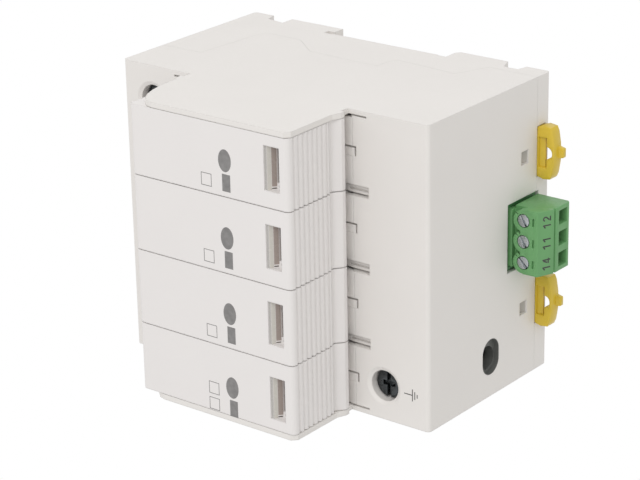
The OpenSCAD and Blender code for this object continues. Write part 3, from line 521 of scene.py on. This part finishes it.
def rim_mesh(name, left, right, end):
    """The bay's rim: its profile fills the housing's chamfer and the slit beside the cartridge's body.

    A quarter circle rounds its inner front edge; end is 1 at the top, -1 below.
    """
    angle = np.linspace(0, np.pi / 2, RIM_STEPS)
    arc_y = SHOULDER_FRONT + RIM_ROUND * (1 - np.cos(angle))
    arc_z = RIM_INNER + RIM_ROUND * (1 - np.sin(angle))
    y = np.concatenate([[SHOULDER_FRONT], arc_y, [SHOULDER_FRONT + RIM_DEPTH] * 2])
    z = np.concatenate([[BAY_HALF_HEIGHT + BAY_CHAMFER], arc_z, [RIM_INNER, BAY_HALF_HEIGHT]]) * end
    return strip_mesh(name, left, right, y, z)


def pole_middle(pole):
    """X of a pole's middle."""
    return (POLES.index(pole) - (len(POLES) - 1) / 2) * MODULE


def rim_spans(pole):
    """X ranges of a pole's two rim strips, one on each side of its tab."""
    middle = pole_middle(pole)
    left = middle - MODULE / 2 + BOUNDARY_SHIFT + TONGUE_HALF_SLOT
    right = middle + MODULE / 2 + BOUNDARY_SHIFT - TONGUE_HALF_SLOT
    return (max(left, -RIM_END), middle + TAB_LEFT), (middle + TAB_RIGHT, min(right, RIM_END))


# Films: printed marks, and thin films of painted shade in the windows and on the latches
FILM = 0.03 * MM
OVAL_STEPS = 48
# The window's films of painted shade: where the slope starts and ends, how far it sinks, and the spans of its
# parts
WINDOW_SLOPE_TOP = -16.4 * MM
WINDOW_SLOPE_TOP_SINK = 0.35 * MM
WINDOW_SLOPE_FOOT = -17.8 * MM
WINDOW_SLOPE_FOOT_SINK = 2.0 * MM
WINDOW_HALF_WIDTH = 5.05 * MM
DEEP_SHADE_SHARE = 0.45
DEEP_SHADE_LEFT = -4.35 * MM
SHADOW_LEFT = -4.9 * MM
SHADOW_RIGHT = -4.62 * MM
SHADOW_UPPER_SHARE = 0.45
SHADOW_LOWER_SHARE = 0.95
LEDGE_MIDDLE = -16.1 * MM
LEDGE_HALF_HEIGHT = 0.28 * MM
LATCH_X = {"right": 18.2 * MM, "left": -18.6 * MM}
LATCH_FRONT = -7.9 * MM
LATCH_BACK = -5.1 * MM
LATCH_FRONT_DEPTH = 1.6 * MM
LATCH_BACK_DEPTH = 0.4 * MM
LATCH_HALF_WIDTH = 1.55 * MM


def film_mesh(name, outline, inner_outline=None):
    """A thin film from an outline, or from the band between an outline and an inner one with as many points.

    Four rings are joined: the outline at foot and face, then the inner one, or the middle, at face and foot.
    """
    outer = np.asarray(outline, float)
    count = len(outer)
    inner = np.tile(outer.mean(0), (count, 1)) if inner_outline is None else np.asarray(inner_outline)
    steps = [(outer, 0.0), (outer, FILM), (inner, FILM), (inner, 0.0)]
    rings = [np.column_stack([points, np.full(count, height)]) for points, height in steps]
    return closed_rings(name, rings)


def place_film(mesh, matrix, material, body):
    """Moves a film's mesh to its place on the part, and adds it."""
    mesh.transform(matrix)
    place_piece(mesh, material, body)


def place_piece(mesh, material, body):
    """Adds a piece whose mesh is in place, and lets it ride on its body."""
    mesh.materials.clear()
    mesh.materials.append(material)
    piece = bpy.data.objects.new(mesh.name, mesh)
    bpy.context.scene.collection.objects.link(piece)
    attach(piece, body)


def oval(half_w, half_h):
    """Points of an ellipse: half_w times the cosine and half_h times the sine of an even angle."""
    angle = np.linspace(0, 2 * np.pi, OVAL_STEPS, endpoint=False)
    return np.column_stack([half_w * np.cos(angle), half_h * np.sin(angle)])


def rectangle(half_w, half_h, centre=(0.0, 0.0)):
    """Corners of a rectangle: half_w and half_h to either side of its centre."""
    return np.array([[-1, -1], [1, -1], [1, 1], [-1, 1]]) * [half_w, half_h] + centre


def closed_rings(name, rings):
    """A closed skin over rings of equal count: quads join each ring to the next, and the last to the first."""
    count = len(rings[0])
    step = np.arange(count)
    after = (step + 1) % count
    quads = []
    for k in range(len(rings)):
        low, high = k * count, (k + 1) % len(rings) * count
        quads.append(np.column_stack([low + step, low + after, high + after, high + step]))
    return closed_mesh(name, np.concatenate(rings).tolist(), np.concatenate(quads).tolist())


def ribbon_mesh(name, paths, half_width):
    """Flat strokes: a thin rectangle is carried along each path, square to it or to a corner's half angle.

    Each point gives four corners: half_width to its left and right, at the film's foot and at its face.
    """
    sides = np.array([1, 1, -1, -1])
    heights = np.array([0, FILM, FILM, 0])
    corner = np.arange(4)
    after = (corner + 1) % 4
    wrap = np.column_stack([corner, after, after + 4, corner + 4])
    verts = []
    faces = []
    first = 0
    for path in paths:
        points = np.asarray(path, float)
        along = np.diff(points, axis=0)
        along /= np.linalg.norm(along, axis=1)[:, None]
        sideways = np.column_stack([-along[:, 1], along[:, 0]])
        halfway = np.concatenate([sideways[:1], sideways[:-1] + sideways[1:], sideways[-1:]])
        halfway /= np.linalg.norm(halfway, axis=1)[:, None]
        reach = half_width / (halfway * np.concatenate([sideways[:1], sideways])).sum(1)
        flat = points[:, None] + sides[:, None] * (halfway * reach[:, None])[:, None]
        verts.append(np.dstack([flat, np.tile(heights, (len(points), 1))]).reshape(-1, 3))
        low = first + 4 * np.arange(len(points) - 1)
        last = first + 4 * (len(points) - 1)
        faces += (low[:, None, None] + wrap).reshape(-1, 4).tolist()
        faces += [(first + corner).tolist(), (last + corner).tolist()]
        first = last + 4
    return closed_mesh(name, np.concatenate(verts).tolist(), faces)


def facing(origin, across, up):
    """Matrix that lays a film's X along across, its Y along up, and its thickness along their cross product."""
    x_axis = Vector(across).normalized()
    y_axis = Vector(up).normalized()
    z_axis = x_axis.cross(y_axis)
    turn = Matrix((x_axis, y_axis, z_axis)).transposed().to_4x4()
    return Matrix.Translation(Vector(origin)) @ turn


# Linings of painted shade in the wire entries
WIRE_Y = -19.7 * MM
ENTRY_FACE = {"upper": 43.2 * MM, "earth": BASE_BOTTOM}
MOUTH_SIDE = 1.1 * MM
MOUTH_RADIUS = 3.3 * MM
MOUTH_DEPTH = 1.4 * MM
BORE_RADIUS = 3.0 * MM
BORE_END = 3.6 * MM
SHADE_LINING_WALL = 0.15 * MM
SHADE_LINING_GAP = 0.02 * MM
UPPER_ENTRY_SHIFT = 0.4 * MM
EARTH_ENTRY_SHIFT = 0.2 * MM
EARTH_MOUTH_SHIFT = 0.6 * MM
HALF_TURN_STEPS = 24


def half_turns(radius, side, shift, z):
    """Two half circles: radius times cosine and sine, each moved by side away from a middle at shift."""
    edge = np.pi / HALF_TURN_STEPS / 2
    angle = np.linspace(-np.pi / 2 + edge, np.pi / 2 - edge, HALF_TURN_STEPS)
    x = np.concatenate([side + radius * np.cos(angle), -side - radius * np.cos(angle)]) + shift
    y = np.concatenate([radius * np.sin(angle), -radius * np.sin(angle)]) + WIRE_Y
    return np.column_stack([x, y, np.full(len(x), z)])


def entry_shade_mesh(name, x, face, mouth_shift=0.0):
    """Lining of painted shade in a wire entry: an oval band, a flat floor and a round tube, as rings that go in
    and back out.
    """
    inward = -1 if face > 0 else 1
    rings = []
    for wall, order in ((SHADE_LINING_WALL, 1), (SHADE_LINING_GAP, -1)):
        floor_z = face + inward * (MOUTH_DEPTH - wall)
        mouth = MOUTH_RADIUS - wall
        bore = BORE_RADIUS - wall
        part = [
            half_turns(mouth, MOUTH_SIDE, x + mouth_shift, face + inward * SHADE_LINING_GAP),
            half_turns(mouth, MOUTH_SIDE, x + mouth_shift, floor_z),
            half_turns(bore, 0.0, x, floor_z),
            half_turns(bore, 0.0, x, face + inward * BORE_END),
        ]
        rings += part[::order]
    return closed_rings(name, rings)


# Webs in the clips' slots
WEB_HALF_WIDTH = 3.58 * MM
WEB_TOP = -0.27 * MM
WEB_FOOT = -1.75 * MM
WEB_FRONT = 0.5 * MM
WEB_BACK = 1.3 * MM
WEB_SCOOP = 0.3 * MM
WEB_STEPS = 9


def web_mesh(name, middle, front):
    """The web behind a clip's slot: its front leans back towards the foot by a cosine, as a tool's scoop."""
    share = np.linspace(0, 1, WEB_STEPS)
    scoop_y = front + WEB_FRONT + WEB_SCOOP * (1 - np.cos(np.pi / 2 * share))
    scoop_z = BASE_BOTTOM + WEB_TOP + (WEB_FOOT - WEB_TOP) * share
    y = np.concatenate([scoop_y, [front + WEB_BACK] * 2])
    z = np.concatenate([scoop_z, [scoop_z[-1], scoop_z[0]]])
    return strip_mesh(name, middle - WEB_HALF_WIDTH, middle + WEB_HALF_WIDTH, y, z)


# Properties
class ArresterColours(bpy.types.PropertyGroup):
    """Colours of the mouldings"""

    housing: FloatVectorProperty(
        name="Housing", description="Colour of the base's two housings", subtype="COLOR",
        min=0, max=1, default=linear_colour("E7E3DF"),
    )
    cartridge: FloatVectorProperty(
        name="Cartridge", description="Colour of the draw-out cartridges", subtype="COLOR",
        min=0, max=1, default=linear_colour("E8E4E2"),
    )
    clip: FloatVectorProperty(
        name="Rail clip", description="Colour of the two rail clips", subtype="COLOR",
        min=0, max=1, default=linear_colour("DDBE38"),
    )
    plug: FloatVectorProperty(
        name="Plug", description="Colour of the signal plug", subtype="COLOR",
        min=0, max=1, default=linear_colour("6AA268"),
    )
    header: FloatVectorProperty(
        name="Header", description="Colour of the fixed header round the plug", subtype="COLOR",
        min=0, max=1, default=linear_colour("477F4E"),
    )


class ArresterEdges(bpy.types.PropertyGroup):
    """Rounding of the edges"""

    housing_mm: FloatProperty(
        name="Housing edges", description="Radius on the base's sharp edges, in millimetres",
        default=0.3, min=0.05, max=0.8,
    )
    cartridge_mm: FloatProperty(
        name="Cartridge edges", description="Radius on the cartridges' sharp edges, in millimetres",
        default=0.35, min=0.05, max=0.8,
    )
    small_mm: FloatProperty(
        name="Small edges", description="Radius on plug, header, clip and screw edges, in millimetres",
        default=0.18, min=0.02, max=0.4,
    )


class ArresterStage(bpy.types.PropertyGroup):
    """Light and floor"""

    key_light: FloatProperty(
        name="Key light", description="Power of the large softbox beside the camera",
        default=5.0, min=0, max=60, subtype="POWER",
    )
    ambient: FloatProperty(
        name="Ambient", description="Strength of the even studio light from all sides",
        default=0.78, min=0, max=1,
    )
    floor_drop: FloatProperty(
        name="Floor drop", description="Height of the rail's axis above the studio floor",
        default=1.0, min=0.2, max=3, unit="LENGTH",
    )


def settings():
    """The panel's colours, edges and stage."""
    scene = bpy.context.scene
    return scene.arrester_colours, scene.arrester_edges, scene.arrester_stage


# Operators
class ARRESTER_OT_base(bpy.types.Operator):
    """Dress the two housings of the base, and add the bay's thin rim and films of painted shade on the latches"""

    bl_idname = "arrester.base"
    bl_label = "Base housings"

    def execute(self, context):
        colours, edges, _ = settings()
        material = housing_material(colours, edges.housing_mm)
        for node in ("front_housing", "rear_housing"):
            dress(node, material)
        for pole in POLES:
            for side, span in zip(SIDES, rim_spans(pole)):
                for end, place in ((1, "upper"), (-1, "lower")):
                    name = f"bay_rim_{place}_{pole}_{side}"
                    place_piece(rim_mesh(name, *span, end), material, "base")
        self.latches()
        return {"FINISHED"}

    def latches(self):
        """The rear shell's two latches, shown by films of painted shade on the ramps of the snap windows."""
        latch = latch_shade_material()
        ramp = Vector((0, LATCH_BACK - LATCH_FRONT, LATCH_BACK_DEPTH - LATCH_FRONT_DEPTH))
        depth = (LATCH_FRONT_DEPTH + LATCH_BACK_DEPTH) / 2
        for side, x in LATCH_X.items():
            seat = (x, (LATCH_FRONT + LATCH_BACK) / 2, BASE_BOTTOM + depth)
            mesh = film_mesh(f"snap_latch_shade_{side}", rectangle(LATCH_HALF_WIDTH, ramp.length / 2 - FILM))
            place_film(mesh, facing(seat, (1, 0, 0), -ramp), latch, "base")


class ARRESTER_OT_cartridges(bpy.types.Operator):
    """Dress the four draw-out cartridges and what they hold, and add films of painted shade in their windows"""

    bl_idname = "arrester.cartridges"
    bl_label = "Cartridges"

    def execute(self, context):
        colours, edges, _ = settings()
        casing = cartridge_material(colours, edges.cartridge_mm)
        carrier = carrier_material()
        brass = brass_material()
        # the shutter's material darkens it as painted shade of its slot
        shutter = shutter_material()
        # ledge, lens, band and mark are films of painted shade and painted shadow in the recessed window
        ledge = window_shade_material("painted_shade_window_ledge", "BAB7B3")
        lens = window_shade_material("painted_shade_window_slope", "CFCBC3")
        band = window_shade_material("painted_deep_shade_window_slope", "A2958E")
        mark = ink_material("painted_shadow_window_foot", linear_colour("5A544F"))
        fault = fault_material()
        varistor = varistor_material()
        tube = tube_material()
        for pole in POLES:
            dress(f"casing_{pole}", casing)
            dress(f"carrier_{pole}", carrier)
            dress(f"blades_{pole}", brass)
            dress(f"shutter_{pole}", shutter)
            self.window(pole, ledge, lens, band, mark)
            dress(f"fault_plate_{pole}", fault)
            dress(f"limiter_{pole}", tube if pole == "n" else varistor)
        return {"FINISHED"}

    def window(self, pole, ledge, lens, band, mark):
        """Films of painted shade down the window's slope, which are a lighter upper part, a darker lower band and
        a painted shadow at the foot, and on its ledge.
        """
        low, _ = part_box(f"casing_{pole}")
        across = Vector((1, 0, 0))
        body = f"cartridge_{pole}"
        top = Vector((pole_middle(pole), low.y + WINDOW_SLOPE_TOP_SINK, WINDOW_SLOPE_TOP))
        down = Vector((0, WINDOW_SLOPE_FOOT_SINK - WINDOW_SLOPE_TOP_SINK, WINDOW_SLOPE_FOOT - WINDOW_SLOPE_TOP))
        inwards = across.cross(down).normalized() * FILM / 2
        # lens, band and mark: painted shade on the slope, deeper on its lower part, and a painted shadow at its
        # foot
        for name, upper, lower, left, right, material in (
            ("lens", 0.0, DEEP_SHADE_SHARE, -WINDOW_HALF_WIDTH, WINDOW_HALF_WIDTH, lens),
            ("band", DEEP_SHADE_SHARE, 1.0, DEEP_SHADE_LEFT, WINDOW_HALF_WIDTH, band),
            ("mark", SHADOW_UPPER_SHARE, SHADOW_LOWER_SHARE, SHADOW_LEFT, SHADOW_RIGHT, mark),
        ):
            outline = rectangle((right - left) / 2, down.length * (lower - upper) / 2 - FILM)
            middle = top + down * (upper + lower) / 2 + across * (left + right) / 2 + inwards
            mesh = film_mesh(f"window_{name}_{pole}", outline)
            place_film(mesh, facing(middle, across, -down), material, body)
        outline = rectangle(WINDOW_HALF_WIDTH, LEDGE_HALF_HEIGHT)
        spot = facing((top.x, top.y + FILM / 2, LEDGE_MIDDLE), across, (0, 0, 1))
        place_film(film_mesh(f"window_ledge_{pole}", outline), spot, ledge, body)


class ARRESTER_OT_contacts(bpy.types.Operator):
    """Dress the copper bars inside the base"""

    bl_idname = "arrester.contacts"
    bl_label = "Contact bars"

    def execute(self, context):
        copper = copper_material()
        for node in ("neutral_bus", "earth_bar", "line_contact_l1", "line_contact_l2", "line_contact_l3"):
            dress(node, copper)
        return {"FINISHED"}


class ARRESTER_OT_terminals(bpy.types.Operator):
    """Round the terminal screws and colour them with painted shade, dress their clamp cages and line the wire
    entries with painted shade
    """

    bl_idname = "arrester.terminals"
    bl_label = "Terminals"

    def execute(self, context):
        _, edges, _ = settings()
        # steel: its nearly black colour is painted shade of the deep screw holes
        steel = terminal_material()
        cage = cage_material()
        # lining: dark grey painted shade inside the wire entries
        lining = entry_shade_material()
        for pole in POLES:
            x = pole_middle(pole) + UPPER_ENTRY_SHIFT
            place_piece(entry_shade_mesh(f"wire_entry_shade_{pole}", x, ENTRY_FACE["upper"]), lining, "base")
        earth_x = pole_middle("n") + EARTH_ENTRY_SHIFT
        mesh = entry_shade_mesh("wire_entry_shade_earth", earth_x, ENTRY_FACE["earth"], EARTH_MOUTH_SHIFT)
        place_piece(mesh, lining, "base")
        for terminal in (*POLES, "earth"):
            rounded_copy(f"terminal_screw_{terminal}", edges.small_mm, steel)
            dress(f"terminal_cage_{terminal}", cage)
        return {"FINISHED"}


class ARRESTER_OT_clips(bpy.types.Operator):
    """Round and dress the two rail clips, and close their slots by a web from behind"""

    bl_idname = "arrester.clips"
    bl_label = "Rail clips"

    def execute(self, context):
        colours, edges, _ = settings()
        yellow = clip_material(colours)
        for side in SIDES:
            rounded_copy(f"rail_clip_{side}", edges.small_mm, yellow)
            low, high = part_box(f"rail_clip_{side}")
            web = web_mesh(f"clip_web_{side}", (low.x + high.x) / 2, low.y)
            place_piece(web, yellow, frame["nodes"][f"rail_clip_{side}"]["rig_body"])
        return {"FINISHED"}


class ARRESTER_OT_signal(bpy.types.Operator):
    """Round and dress the signal plug, its header and the switch behind them"""

    bl_idname = "arrester.signal"
    bl_label = "Signal connector"

    def execute(self, context):
        colours, edges, _ = settings()
        rounded_copy("plug_housing", edges.small_mm, plug_material(colours))
        rounded_copy("signal_header", edges.small_mm, header_material(colours))
        zinc = screw_material()
        cage = cage_material()
        for way in WAYS:
            rounded_copy(f"plug_screw_{way}", edges.small_mm, zinc)
            dress(f"plug_clamp_{way}", cage)
        dress("header_pins", tin_material())
        dress("signal_switch", switch_material())
        dress("signal_bar", carrier_material())
        return {"FINISHED"}


# Prints
OVAL_HALF_SIZE = (2.6 * MM, 1.8 * MM)
OVAL_PLACE = (-0.6 * MM, -4.8 * MM)
PATCH_HALF_SIZE = (2.0 * MM, 1.15 * MM)
PATCH_PLACE = (-5.7 * MM, -5.1 * MM)
FRAME_HALF = 1.5 * MM
FRAME_HALF_INSIDE = 1.34 * MM
FRAME_X = -5.9 * MM
FRAME_Z = 0.6 * MM
FRAME_PITCH = 3.9 * MM
EARTH_X = -28 * MM
EARTH_Z = -39 * MM
EARTH_HALF_LINE = 0.11 * MM
EARTH_BARS = (1.45 * MM, 0.95 * MM, 0.45 * MM)
EARTH_FIRST_BAR = -0.45 * MM
EARTH_BAR_PITCH = 0.65 * MM
EARTH_STEM_HALF = 1.1 * MM
EARTH_STEM_MIDDLE = 0.7 * MM
NUMERALS = {"left": "14", "middle": "11", "right": "12"}
BOW_DEGREES = (165, -30)
BOW_STEPS = 12
BOW_MIDDLE = (0.48, 0.7)
BOW_RADII = (0.36, 0.24)
NUMERAL_WIDTH = 1.25 * MM
NUMERAL_HEIGHT = 2.15 * MM
NUMERAL_PITCH = 1.75 * MM
NUMERAL_HALF_STROKE = 0.17 * MM
PRINT_FACE_FRONT = 0.3 * MM
PRINT_FACE_BACK = 4.4 * MM
PRINT_FACE_RISE = 1.7 * MM
PRINT_LOWER_SHARE = 0.46


def digit_paths(digit):
    """Strokes of a digit in shares of its width and height: bars, and an ellipse's arc for the bow of the 2."""
    if digit == "1":
        return [[(0.62, 0.0), (0.62, 1.0)], [(0.12, 0.68), (0.46, 0.88)]]
    if digit == "4":
        bars = [[(0.7, 0.0), (0.7, 1.0)], [(0.0, 0.26), (0.55, 0.26)], [(0.85, 0.26), (1.0, 0.26)]]
        return [*bars, [(0.52, 0.88), (0.15, 0.38)]]
    angle = np.radians(np.linspace(*BOW_DEGREES, BOW_STEPS))
    bow = np.array(BOW_MIDDLE) + np.column_stack([np.cos(angle), np.sin(angle)]) * BOW_RADII
    return [[*bow, (0.22, 0.19)], [(0.02, 0.07), (0.95, 0.07)]]


class ARRESTER_OT_prints(bpy.types.Operator):
    """Print the earth sign, the plug's numerals and a plain mark on each cartridge"""

    bl_idname = "arrester.prints"
    bl_label = "Prints"

    def execute(self, context):
        grey = ink_material("grey_pad_print", linear_colour("7A7877"))
        dark = ink_material("dark_pad_print", linear_colour("3A3938"))
        for pole in POLES:
            self.cartridge_marks(pole, grey)
        self.earth_sign(dark)
        for way in WAYS:
            self.numeral(way, dark)
        return {"FINISHED"}

    def cartridge_marks(self, pole, grey):
        """A plain oval and a plain rectangle beside it, and small empty frames, on the cartridge's front."""
        low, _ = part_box(f"casing_{pole}")
        middle = pole_middle(pole)
        body = f"cartridge_{pole}"

        def spot(x, z):
            """A place on the cartridge's front, from the pole's middle."""
            return facing((middle + x, low.y + FILM / 2, z), (1, 0, 0), (0, 0, 1))

        place_film(film_mesh(f"print_oval_{pole}", oval(*OVAL_HALF_SIZE)), spot(*OVAL_PLACE), grey, body)
        patch = rectangle(*PATCH_HALF_SIZE)
        place_film(film_mesh(f"print_patch_{pole}", patch), spot(*PATCH_PLACE), grey, body)
        outer = rectangle(FRAME_HALF, FRAME_HALF)
        inner = rectangle(FRAME_HALF_INSIDE, FRAME_HALF_INSIDE)
        for k in range(2 if pole == "n" else 1):
            mesh = film_mesh(f"print_frame_{pole}_{k}", outer, inner)
            place_film(mesh, spot(FRAME_X + k * FRAME_PITCH, FRAME_Z), grey, body)

    def earth_sign(self, ink):
        """The usual earth sign: a stem and three bars that get shorter."""
        place = facing((EARTH_X, SHOULDER_FRONT + FILM / 2, EARTH_Z), (1, 0, 0), (0, 0, 1))
        for k, half_w in enumerate(EARTH_BARS):
            bar = rectangle(half_w, EARTH_HALF_LINE, (0, EARTH_FIRST_BAR - k * EARTH_BAR_PITCH))
            place_film(film_mesh(f"print_earth_bar_{k}", bar), place, ink, "base")
        stem = rectangle(EARTH_HALF_LINE, EARTH_STEM_HALF, (0, EARTH_STEM_MIDDLE))
        place_film(film_mesh("print_earth_stem", stem), place, ink, "base")

    def numeral(self, way, ink):
        """The contact's number on the plug's sloped lower face: two digits beside each other."""
        low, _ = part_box("plug_housing")
        screw_low, screw_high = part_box(f"plug_screw_{way}")
        paths = []
        for k, digit in enumerate(NUMERALS[way]):
            for path in digit_paths(digit):
                share = np.asarray(path) - 0.5  # from the digit's middle
                paths.append(share * [NUMERAL_WIDTH, NUMERAL_HEIGHT] + [(k - 0.5) * NUMERAL_PITCH, 0])
        foot = Vector(((screw_low.x + screw_high.x) / 2, low.y + PRINT_FACE_BACK, low.z))
        slope = Vector((0, PRINT_FACE_FRONT - PRINT_FACE_BACK, PRINT_FACE_RISE))
        across = Vector((1, 0, 0))
        seat = foot + slope * PRINT_LOWER_SHARE - across.cross(slope).normalized() * FILM / 2
        mesh = ribbon_mesh(f"print_numeral_{way}", paths, NUMERAL_HALF_STROKE)
        place_film(mesh, facing(seat, across, slope), ink, "plug")


# Camera in the frame of the part, as the photograph was taken, light and floor
CAMERA_PLACE = Vector((0.19521, -0.43479, -0.32286))
CAMERA_RIGHT = Vector((-0.018909, 0.614071, -0.789024))
CAMERA_DOWN = Vector((-0.933034, -0.294428, -0.206783))
FOCAL_PIXELS = 2382
PICTURE_WIDTH = 640
SENSOR_MM = 36
CLIP_START = 0.01
KEY_OFFSET = Vector((0.85, -0.80, -0.26))
KEY_SIZE = 0.9
FLOOR_SIZE = 6.0
FLOOR_LINES = 5
FLOOR_CLOUD_MM = 400


def aim(place, target):
    """Matrix of a lamp at place that shines at target."""
    turn = (Vector(target) - Vector(place)).to_track_quat("-Z", "Y")
    return Matrix.Translation(Vector(place)) @ turn.to_matrix().to_4x4()


def softbox(name, place, target, size, power):
    """A square lamp with soft shadows, aimed from its place at a target."""
    lamp = bpy.data.lights.new(name, "AREA")
    lamp.shape = "SQUARE"
    lamp.size = size
    lamp.energy = power
    holder = bpy.data.objects.new(name, lamp)
    bpy.context.scene.collection.objects.link(holder)
    holder.matrix_world = aim(place, target)


def studio_world(ambient):
    """White to the camera, in reflections and through clear things, and an even dimmer light on the part."""
    world = bpy.data.worlds.new("studio")
    bpy.context.scene.world = world
    world.use_nodes = True
    tree = world.node_tree
    tree.nodes.clear()
    output = add_node(tree, "ShaderNodeOutputWorld")
    rays = add_node(tree, "ShaderNodeLightPath").outputs
    seen = rays["Is Camera Ray"]
    for kind in ("Is Glossy Ray", "Is Transmission Ray"):
        links = {0: seen, 1: rays[kind]}
        seen = add_node(tree, "ShaderNodeMath", {"operation": "MAXIMUM"}, links=links).outputs[0]
    light = add_node(tree, "ShaderNodeBackground", inputs={"Color": (1, 1, 1, 1), "Strength": ambient})
    backdrop = add_node(tree, "ShaderNodeBackground", inputs={"Color": (1, 1, 1, 1), "Strength": 1.0})
    links = {0: seen, 1: light.outputs[0], 2: backdrop.outputs[0]}
    mix = add_node(tree, "ShaderNodeMixShader", links=links)
    tree.links.new(mix.outputs[0], output.inputs["Surface"])


def floor_material():
    """Pale painted studio floor: plain, with a faint cloudiness."""
    material, tree, output, place = new_material("pale_studio_floor")
    clouds = noise(tree, place, FLOOR_CLOUD_MM)
    base = tinted(tree, between(tree, clouds, 0, 1), linear_colour("F4F4F3"), linear_colour("EFEFEE"))
    shader = add_node(tree, "ShaderNodeBsdfPrincipled", inputs={"Roughness": 0.8}, links={"Base Color": base})
    tree.links.new(shader.outputs["BSDF"], output.inputs["Surface"])
    return material


class ARRESTER_OT_stage(bpy.types.Operator):
    """Set up the camera, the softbox, the white surroundings and the floor"""

    bl_idname = "arrester.stage"
    bl_label = "Stage"

    def execute(self, context):
        _, _, stage = settings()
        scene = bpy.context.scene
        scene.view_settings.view_transform = "Standard"
        camera_data = bpy.data.cameras.new("camera")
        camera_data.sensor_width = SENSOR_MM
        camera_data.lens = FOCAL_PIXELS * SENSOR_MM / PICTURE_WIDTH
        camera_data.clip_start = CLIP_START
        camera = bpy.data.objects.new("camera", camera_data)
        scene.collection.objects.link(camera)
        up = -CAMERA_DOWN.normalized()
        right = CAMERA_RIGHT.normalized()
        turn = Matrix((right, up, right.cross(up))).transposed().to_4x4()
        camera.matrix_world = Matrix.Translation(CAMERA_PLACE) @ turn
        scene.camera = camera
        centre = (CAD_LOW + CAD_HIGH) / 2
        softbox("key_softbox", centre + KEY_OFFSET, centre, KEY_SIZE, stage.key_light)
        studio_world(stage.ambient)
        lines = np.linspace(-FLOOR_SIZE / 2, FLOOR_SIZE / 2, FLOOR_LINES)
        grid_x, grid_y = np.meshgrid(lines, lines)
        verts = np.column_stack([grid_x.ravel(), grid_y.ravel(), np.full(grid_x.size, -stage.floor_drop)])
        step = np.arange(FLOOR_LINES - 1)
        corner = (step[:, None] * FLOOR_LINES + step).ravel()
        quads = np.column_stack([corner, corner + 1, corner + FLOOR_LINES + 1, corner + FLOOR_LINES])
        mesh = bpy.data.meshes.new("studio_floor")
        mesh.from_pydata(verts.tolist(), [], quads.tolist())
        mesh.materials.append(floor_material())
        floor = bpy.data.objects.new("studio_floor", mesh)
        scene.collection.objects.link(floor)
        return {"FINISHED"}


OPERATORS = (
    ARRESTER_OT_base,
    ARRESTER_OT_cartridges,
    ARRESTER_OT_contacts,
    ARRESTER_OT_terminals,
    ARRESTER_OT_clips,
    ARRESTER_OT_signal,
    ARRESTER_OT_prints,
    ARRESTER_OT_stage,
)
GROUPS = (ArresterColours, ArresterEdges, ArresterStage)


class ARRESTER_PT_panel(bpy.types.Panel):
    """Lists the steps that build the looks"""

    bl_idname = "ARRESTER_PT_panel"
    bl_label = "Surge arrester"
    bl_space_type = "VIEW_3D"
    bl_region_type = "UI"
    bl_category = "Arrester"

    def draw(self, context):
        for operator in OPERATORS:
            self.layout.operator(operator.bl_idname)
        for group in settings():
            for name in group.__annotations__:
                self.layout.prop(group, name)


def register():
    """Registers the classes and puts their properties on the scene."""
    for item in (*GROUPS, *OPERATORS, ARRESTER_PT_panel):
        bpy.utils.register_class(item)
    bpy.types.Scene.arrester_colours = PointerProperty(type=ArresterColours)
    bpy.types.Scene.arrester_edges = PointerProperty(type=ArresterEdges)
    bpy.types.Scene.arrester_stage = PointerProperty(type=ArresterStage)


def unregister():
    """Takes the properties and classes away again."""
    del bpy.types.Scene.arrester_colours
    del bpy.types.Scene.arrester_edges
    del bpy.types.Scene.arrester_stage
    for item in reversed((*GROUPS, *OPERATORS, ARRESTER_PT_panel)):
        bpy.utils.unregister_class(item)


def main():
    """Builds the looks step by step."""
    register()
    bpy.ops.arrester.base()
    bpy.ops.arrester.cartridges()
    bpy.ops.arrester.contacts()
    bpy.ops.arrester.terminals()
    bpy.ops.arrester.clips()
    bpy.ops.arrester.signal()
    bpy.ops.arrester.prints()
    bpy.ops.arrester.stage()


if __name__ == "__main__":
    main()
